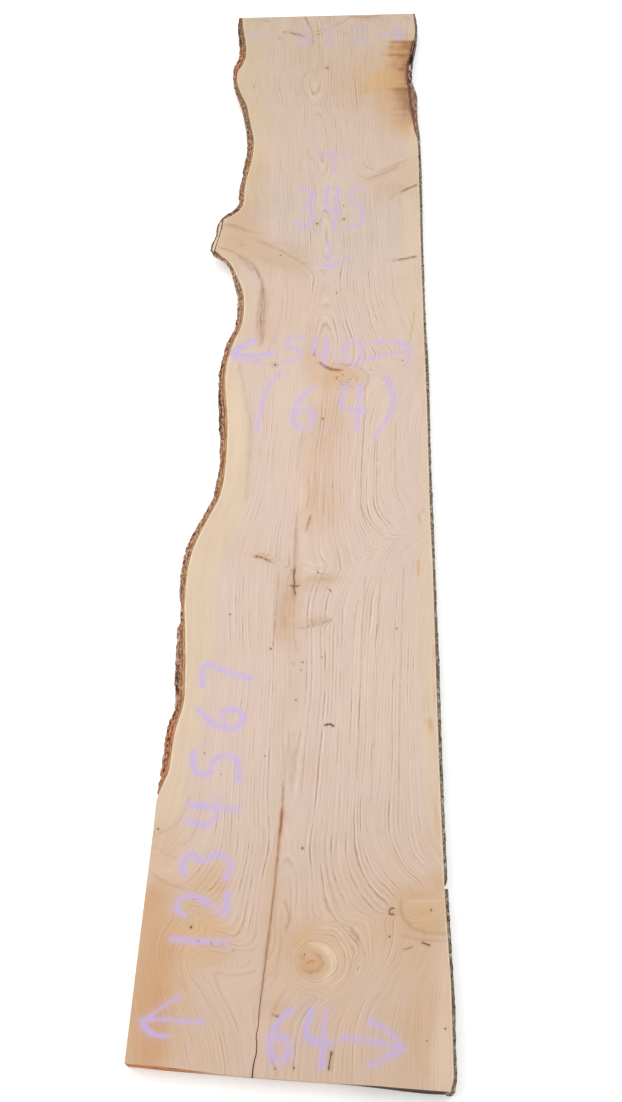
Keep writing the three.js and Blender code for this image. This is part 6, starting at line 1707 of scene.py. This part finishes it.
def bark_material(name, kind):
    """kind 0: fresh red-brown bark of the left edge; 1: thin weathered bark of the right edge; 2: its dark upper run."""
    g = Nodes(name)
    pos = g.inches()
    x, y, z = g.split(pos)
    through, part, deep = g.split(g.attr('layer').outputs['Vector'])
    s, width, tone = g.split(g.attr('place').outputs['Vector'])
    wave = g.signed(g.join(g.mul(s, .9), g.mul(through, 2.), g.mul(z, 1.)), 1., 2., .5)
    inch = g.fma(wave, .07, g.mul(through, width))
    layer = g.signed(g.join(g.mul(inch, 5.2), g.mul(s, .62), g.mul(z, .6)), 1., 3., .62)
    layer2 = g.signed(g.join(g.mul(inch, 9.), g.mul(s, 1.7), g.mul(z, 1.2)), 1., 3., .65)
    crumb = g.signed(pos, 3.4, 4., .70)
    grain = g.noise(g.join(g.mul(x, 4.4), g.mul(y, 2.5), g.mul(z, 3.)), 1., 3., .68)
    grain2 = g.noise(g.join(g.mul(x, 4.0), g.mul(y, 2.1), g.fma(z, 3., 40.)), 1., 3., .68)
    blot = g.signed(pos, .9, 3., .55)
    long = g.signed(g.join(g.mul(s, .09), 4., 2.), 1., 2., .5)
    if kind == 0:
        inner, mid, outer = (.475, .265, .128), (.430, .208, .102), (.415, .235, .160)
        rim, scale_dark, scale_pale = (.600, .400, .220), (.060, .024, .014), (.640, .440, .330)
        skin, skin_red, skin_grey, crack = (.280, .152, .098), (.340, .142, .072), (.370, .280, .220), (.050, .024, .014)
    else:
        inner, mid, outer = (.190, .135, .088), (.165, .130, .092), (.200, .172, .132)
        rim, scale_dark, scale_pale = (.300, .215, .140), (.034, .026, .019), (.520, .470, .400)
        skin, skin_red, skin_grey, crack = (.190, .155, .118), (.175, .105, .072), (.310, .285, .245), (.030, .022, .016)
    # ---- the sawn edge, layer by layer from the wood outwards
    e = g.add(through, g.fma(layer, .14, g.mul(crumb, .06)))
    c = g.mix(g.ease(e, .00, .12), rim, inner)
    c = g.mix(g.ease(g.add(e, g.mul(long, .16)), .26, .56), c, mid)
    c = g.mix(g.ease(g.add(e, g.mul(blot, .10)), .54, .74), c, outer)
    if kind == 0:
        red = g.m('MAXIMUM', g.mul(g.ease(y, 29.5, 27.6), .95), g.mul(g.ease(y, 119.5, 121.), g.ease(y, 126.5, 124.8)))
        c = g.mix(g.mul(red, .85), c, g.mix(g.ease(layer, -.25, .30), (.560, .240, .115), (.390, .130, .055)))
        olive = g.m('MAXIMUM', g.mul(g.mul(g.ease(y, 106., 109.), g.ease(y, 119.5, 117.)), .9), g.ease(y, 126., 128.))
        c = g.mix(g.mul(olive, .60), c, (.255, .165, .092))
        dusky = g.mul(g.ease(y, 73., 77.), g.ease(y, 98., 94.5))
        c = g.mix(g.mul(dusky, .40), c, (.430, .275, .200))
    # lengthwise cracks and ridges, flakes and specks
    c = g.mix(g.ease(layer, .02, .36, 0., .82), c, g.mix(1., c, (.48, .34, .28), 'MULTIPLY'))
    c = g.mix(g.ease(layer, -.05, -.40, 0., .62), c, g.mix(1., c, (1.40, 1.50, 1.60), 'MULTIPLY'))
    c = g.mix(g.mul(g.ease(layer2, .06, .40), g.ease(e, .10, .40, .35, .75)), c, g.mix(1., c, (.50, .38, .32), 'MULTIPLY'))
    if kind == 0:
        scaly = g.m('MAXIMUM', g.mul(g.ease(y, 77., 79.), g.ease(y, 89., 88.)), g.mul(g.ease(y, 93., 94.), g.ease(y, 109.5, 107.)))
        scaly = g.m('MAXIMUM', scaly, g.mul(g.ease(y, 40.5, 42.5), g.mul(g.ease(y, 51., 48.5), .7)))
        loose = g.m('MAXIMUM', g.ease(e, .26, .60), g.mul(scaly, .95))
        # two dark lengthwise lines, broken here and there
        shown = g.ease(g.noise(g.join(g.mul(s, .8), 3., 9.), 1., 2., .6), .36, .54, .25, 1.)
        for place, drift in ((.34, 23.), (.70, 33.)):
            off = g.signed(g.join(g.mul(s, .35), drift, 0.), 1., 3., .6)
            near = g.m('ABSOLUTE', g.sub(g.fma(off, .16, through), place))
            c = g.mix(g.mul(g.ease(near, .11, .04), g.mul(shown, .80)), c, (.110, .046, .026))
    else:
        loose = g.ease(e, -.1, .25)
    c = g.mix(g.mul(g.mul(g.ease(grain, .515, .585), loose), .90), c, scale_dark)
    c = g.mix(g.mul(g.mul(g.ease(grain2, .520, .60), loose), .74), c, scale_pale)
    c = g.mix(g.ease(g.add(grain, g.mul(crumb, .12)), .60, .67, 0., .55), c, scale_dark)
    if kind == 0:
        # nearly black outer scales in places
        charred = g.m('MAXIMUM', g.mul(g.ease(y, 59.6, 61.), g.ease(y, 67.6, 66.)), g.mul(g.ease(y, 67.6, 68.4), g.ease(y, 70.6, 69.6)))
        charred = g.m('MAXIMUM', charred, g.mul(g.ease(y, 30.2, 31.), g.ease(y, 33.6, 32.6)))
        charred = g.m('MAXIMUM', charred, g.mul(g.mul(g.ease(y, 98., 100.), g.ease(y, 108., 106.)), .45))
        charred = g.m('MAXIMUM', charred, g.mul(g.ease(y, 125.5, 127.5), .85))
        chips = g.ease(g.noise(g.join(g.mul(x, 2.6), g.mul(y, 1.3), 50.), 1., 3., .65), .40, .54)
        c = g.mix(g.mul(g.mul(charred, g.mul(chips, g.ease(e, .58, .80))), .86), c, (.040, .022, .014))
        black = g.m('MAXIMUM', g.mul(g.ease(y, 89.6, 90.6), g.ease(y, 95.4, 94.2)), g.mul(g.ease(y, 86.7, 87.2), g.ease(y, 88., 87.6)))
        c = g.mix(g.mul(black, g.ease(grain2, .60, .46, .35, .86)), c, (.075, .042, .028))
        under = g.mul(g.ease(y, 87.4, 87.9), g.ease(y, 90.2, 89.6))
        c = g.mix(g.mul(under, .82), c, (.125, .072, .044))
    if kind == 2:
        # pinkish layers between dark lines, then mottled black and pale slivers, then granular bark
        warm = g.mul(g.ease(y, 108.8, 111.), g.ease(y, 119.2, 117.6))
        pinkish = g.mix(g.ease(layer, -.25, .22), (.540, .330, .245), (.160, .060, .036))
        c = g.mix(g.mul(g.mul(warm, g.mul(g.ease(e, .02, .16), g.ease(e, .92, .78))), .88), c, pinkish)
        mottled = g.mul(g.ease(y, 117.8, 119.4), g.ease(y, 125., 124.))
        patch = g.noise(g.join(g.mul(x, 3.0), g.mul(y, 1.25), 60.), 1., 3., .62)
        c = g.mix(g.mul(mottled, .92), c, g.mix(g.ease(patch, .46, .52), (.480, .340, .275), (.018, .009, .006)))
        soot = g.mul(g.ease(y, 123.4, 124.4), g.ease(y, 128.6, 127.4))
        c = g.mix(g.mul(g.mul(soot, g.ease(patch, .34, .46, .80, 1.)), .97), c, (.008, .004, .003))
        sliver = g.mul(g.ease(g.m('ABSOLUTE', g.sub(g.fma(wave, .14, through), .30)), .20, .08),
                       g.mul(g.ease(y, 125.2, 126.), g.ease(y, 128.2, 127.4)))
        sliver = g.m('MAXIMUM', sliver, g.mul(g.ease(g.m('ABSOLUTE', g.sub(g.fma(wave, .14, through), .55)), .24, .10),
                                              g.mul(g.ease(y, 121.6, 122.2), g.ease(y, 123.9, 123.4))))
        c = g.mix(g.mul(sliver, .90), c, (.720, .500, .400))
        edge = g.mul(g.mul(g.ease(y, 128.6, 129.4), g.ease(y, 131.6, 131.)), g.ease(e, .45, .25))
        c = g.mix(g.mul(edge, .8), c, (.050, .030, .018))
    if kind == 2:
        length = g.mul(g.ease(y, 108., 110.), g.ease(y, 129., 128.))
        c = g.mix(g.mul(g.mul(g.ease(through, .26, .10), length), .92), c, (.135, .036, .014))
        # dents, cracks and the hollow in the sawn bark darkened by their depth: painted shade
        c = g.mix(g.mul(g.ease(deep, .35, 1.50), .50), c, g.mix(warm, scale_dark, (.160, .052, .028)))
        c = g.mix(g.mul(g.ease(y, 128.8, 130.), .55), c, (.190, .150, .090))
    else:
        # pits and dents in the sawn bark darkened to near black by their depth: painted shade
        c = g.mix(g.mul(g.ease(deep, .35, 1.15), .75), c, scale_dark)
    # ---- the outer side
    ridge = g.signed(g.join(g.mul(x, .8), g.mul(y, .55), g.mul(z, 3.6)), 1., 4., .62)
    k = g.mix(g.ease(g.add(blot, g.fma(tone, .7, -.35)), -.28, .45), skin, skin_grey)
    k = g.mix(g.ease(g.add(g.mul(crumb, .6), g.add(g.mul(long, .4), g.mul(ridge, .7))), .0, .50, 0., .85), k, skin_red)
    k = g.mix(g.ease(ridge, -.04, -.40, 0., .62), k, g.mix(1., k, (1.45, 1.45, 1.42), 'MULTIPLY'))
    k = g.mix(g.ease(grain, .53, .62, 0., .48), k, scale_dark)
    k = g.mix(g.ease(grain2, .57, .66, 0., .34), k, scale_pale)
    # the furrows of the outer side go to near black by their depth, broken up by noise: painted shade in the furrows
    k = g.mix(g.ease(g.add(deep, g.add(g.mul(crumb, .55), g.mul(ridge, .35))), .52, .86, 0., .86), k, crack)
    lich = g.mul(g.ease(g.noise(pos, 1.3, 4., .6), .60, .70), g.ease(deep, .4, .1))
    k = g.mix(g.mul(lich, .40), k, (.330, .340, .270))
    # ---- the inner side, against the wood
    inn = g.mix(g.ease(layer2, -.5, .5), (.430, .260, .140), (.330, .180, .095))
    on_out = g.mul(g.ease(part, .55, .9), g.ease(part, 1.6, 1.3))
    c = g.mix(on_out, c, k)
    c = g.mix(g.ease(part, 1.5, 1.9), c, inn)
    shade = g.fma(crumb, .28, g.fma(blot, .12, 1.))
    c = g.mix(1., c, g.join(shade, shade, shade), 'MULTIPLY')
    g.put(g.bsdf.inputs['Base Color'], c)
    g.put(g.bsdf.inputs['Roughness'], g.fma(crumb, .05, .88))
    g.bsdf.inputs['Specular IOR Level'].default_value = .05
    h = g.add(g.mul(g.noise(pos, 12., 4., .7), .6), g.add(g.mul(g.noise(pos, 4., 3., .6), 1.), g.mul(layer, -.35)))
    g.put(g.bsdf.inputs['Normal'], g.bump(h, .0018, .9))
    return g.mat


# ------------------------------------------------------------------------------------------------ camera, floor, light
def camera():
    cam = bpy.data.cameras.new('camera')
    cam.sensor_width = 36
    cam.sensor_fit = 'AUTO'
    cam.lens = 1124.17 * 36 / 1102
    cam.clip_end = 60
    ob = bpy.data.objects.new('camera', cam)
    rx, ry, rz = .566, .051, .037
    ang = math.sqrt(rx * rx + ry * ry + rz * rz)
    ob.rotation_mode = 'AXIS_ANGLE'
    ob.rotation_axis_angle = (ang, rx / ang, ry / ang, rz / ang)
    ob.location = (18.348 * IN + X0, -12.187 * IN + Y0, 91.894 * IN + Z0)
    bpy.context.scene.collection.objects.link(ob)
    bpy.context.scene.camera = ob


def floor():
    s = 9.
    me = bpy.data.meshes.new('floor')
    me.from_pydata([(-s, -s, 0), (s, -s, 0), (s, s, 0), (-s, s, 0)], [], [(0, 1, 2, 3)])
    g = Nodes('floor')
    g.bsdf.inputs['Base Color'].default_value = (.97, .97, .97, 1)
    g.bsdf.inputs['Emission Color'].default_value = (1, 1, 1, 1)
    g.bsdf.inputs['Emission Strength'].default_value = .30
    g.bsdf.inputs['Roughness'].default_value = .9
    g.bsdf.inputs['Specular IOR Level'].default_value = .1
    me.materials.append(g.mat)
    ob = bpy.data.objects.new('floor', me)
    bpy.context.scene.collection.objects.link(ob)


def lights():
    w = bpy.data.worlds.new('world')
    bpy.context.scene.world = w
    w.use_nodes = True
    w.node_tree.nodes['Background'].inputs[0].default_value = (1, 1, 1, 1)
    w.node_tree.nodes['Background'].inputs[1].default_value = WORLD
    for name, at, aim, size, power in SOFT_LIGHTS:
        li = bpy.data.lights.new(name, 'AREA')
        li.shape = 'RECTANGLE'
        li.size, li.size_y = size
        li.energy = power
        li.color = (1, 1, 1)
        ob = bpy.data.objects.new(name, li)
        ob.location = at
        d = Vector(aim) - Vector(at)
        ob.rotation_euler = d.to_track_quat('-Z', 'Y').to_euler()
        bpy.context.scene.collection.objects.link(ob)


WORLD = .50
SOFT_LIGHTS = [
  ('key', (-1.6, -.5, 3.6), (0, -.1, 0), (3.4, 5.0), 122),
  ('fill', (2.4, .6, 3.2), (0, .1, 0), (2.6, 4.4), 46),
]

scene = bpy.context.scene
scene.view_settings.view_transform = 'Standard'
camera()
floor()
lights()

wood = wood_material()
bark_fresh = bark_material('fir_bark', 0)
bark_old = bark_material('fir_bark_weathered', 1)
bark_dark = bark_material('fir_bark_dark', 2)

slab = build_slab(wood)
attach(slab, 'root')
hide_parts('slab')

STRIPS = [
  ('bark_left_lower', 21.3, 90.52, -1, .085, 9, 24, .105, 101),
  ('bark_left_upper', 90.54, 134.0, -1, .085, 9, 24, .105, 202),
  ('bark_right_lower', -.95, 14.0, 1, .10, 5, 22, .045, 303),
  ('bark_right_middle', 14.8, 104.3, 1, .10, 5, 20, .045, 404),
  ('bark_right_upper', 104.75, 134.74, 1, .09, 8, 22, .060, 505),
]
for _name, _y0, _y1, _sign, _gap, _top, _out, _relief, _seed in STRIPS:
    _mat = bark_fresh if _sign < 0 else bark_dark if _name == 'bark_right_upper' else bark_old
    _ob = bark_strip(_name + '_skin', _y0, _y1, _sign, _mat, _gap, _top, _out, _relief, _seed,
                     upper_right=_name == 'bark_right_upper')
    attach(_ob, 'root')
    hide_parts(_name)

bpy.context.view_layer.update()
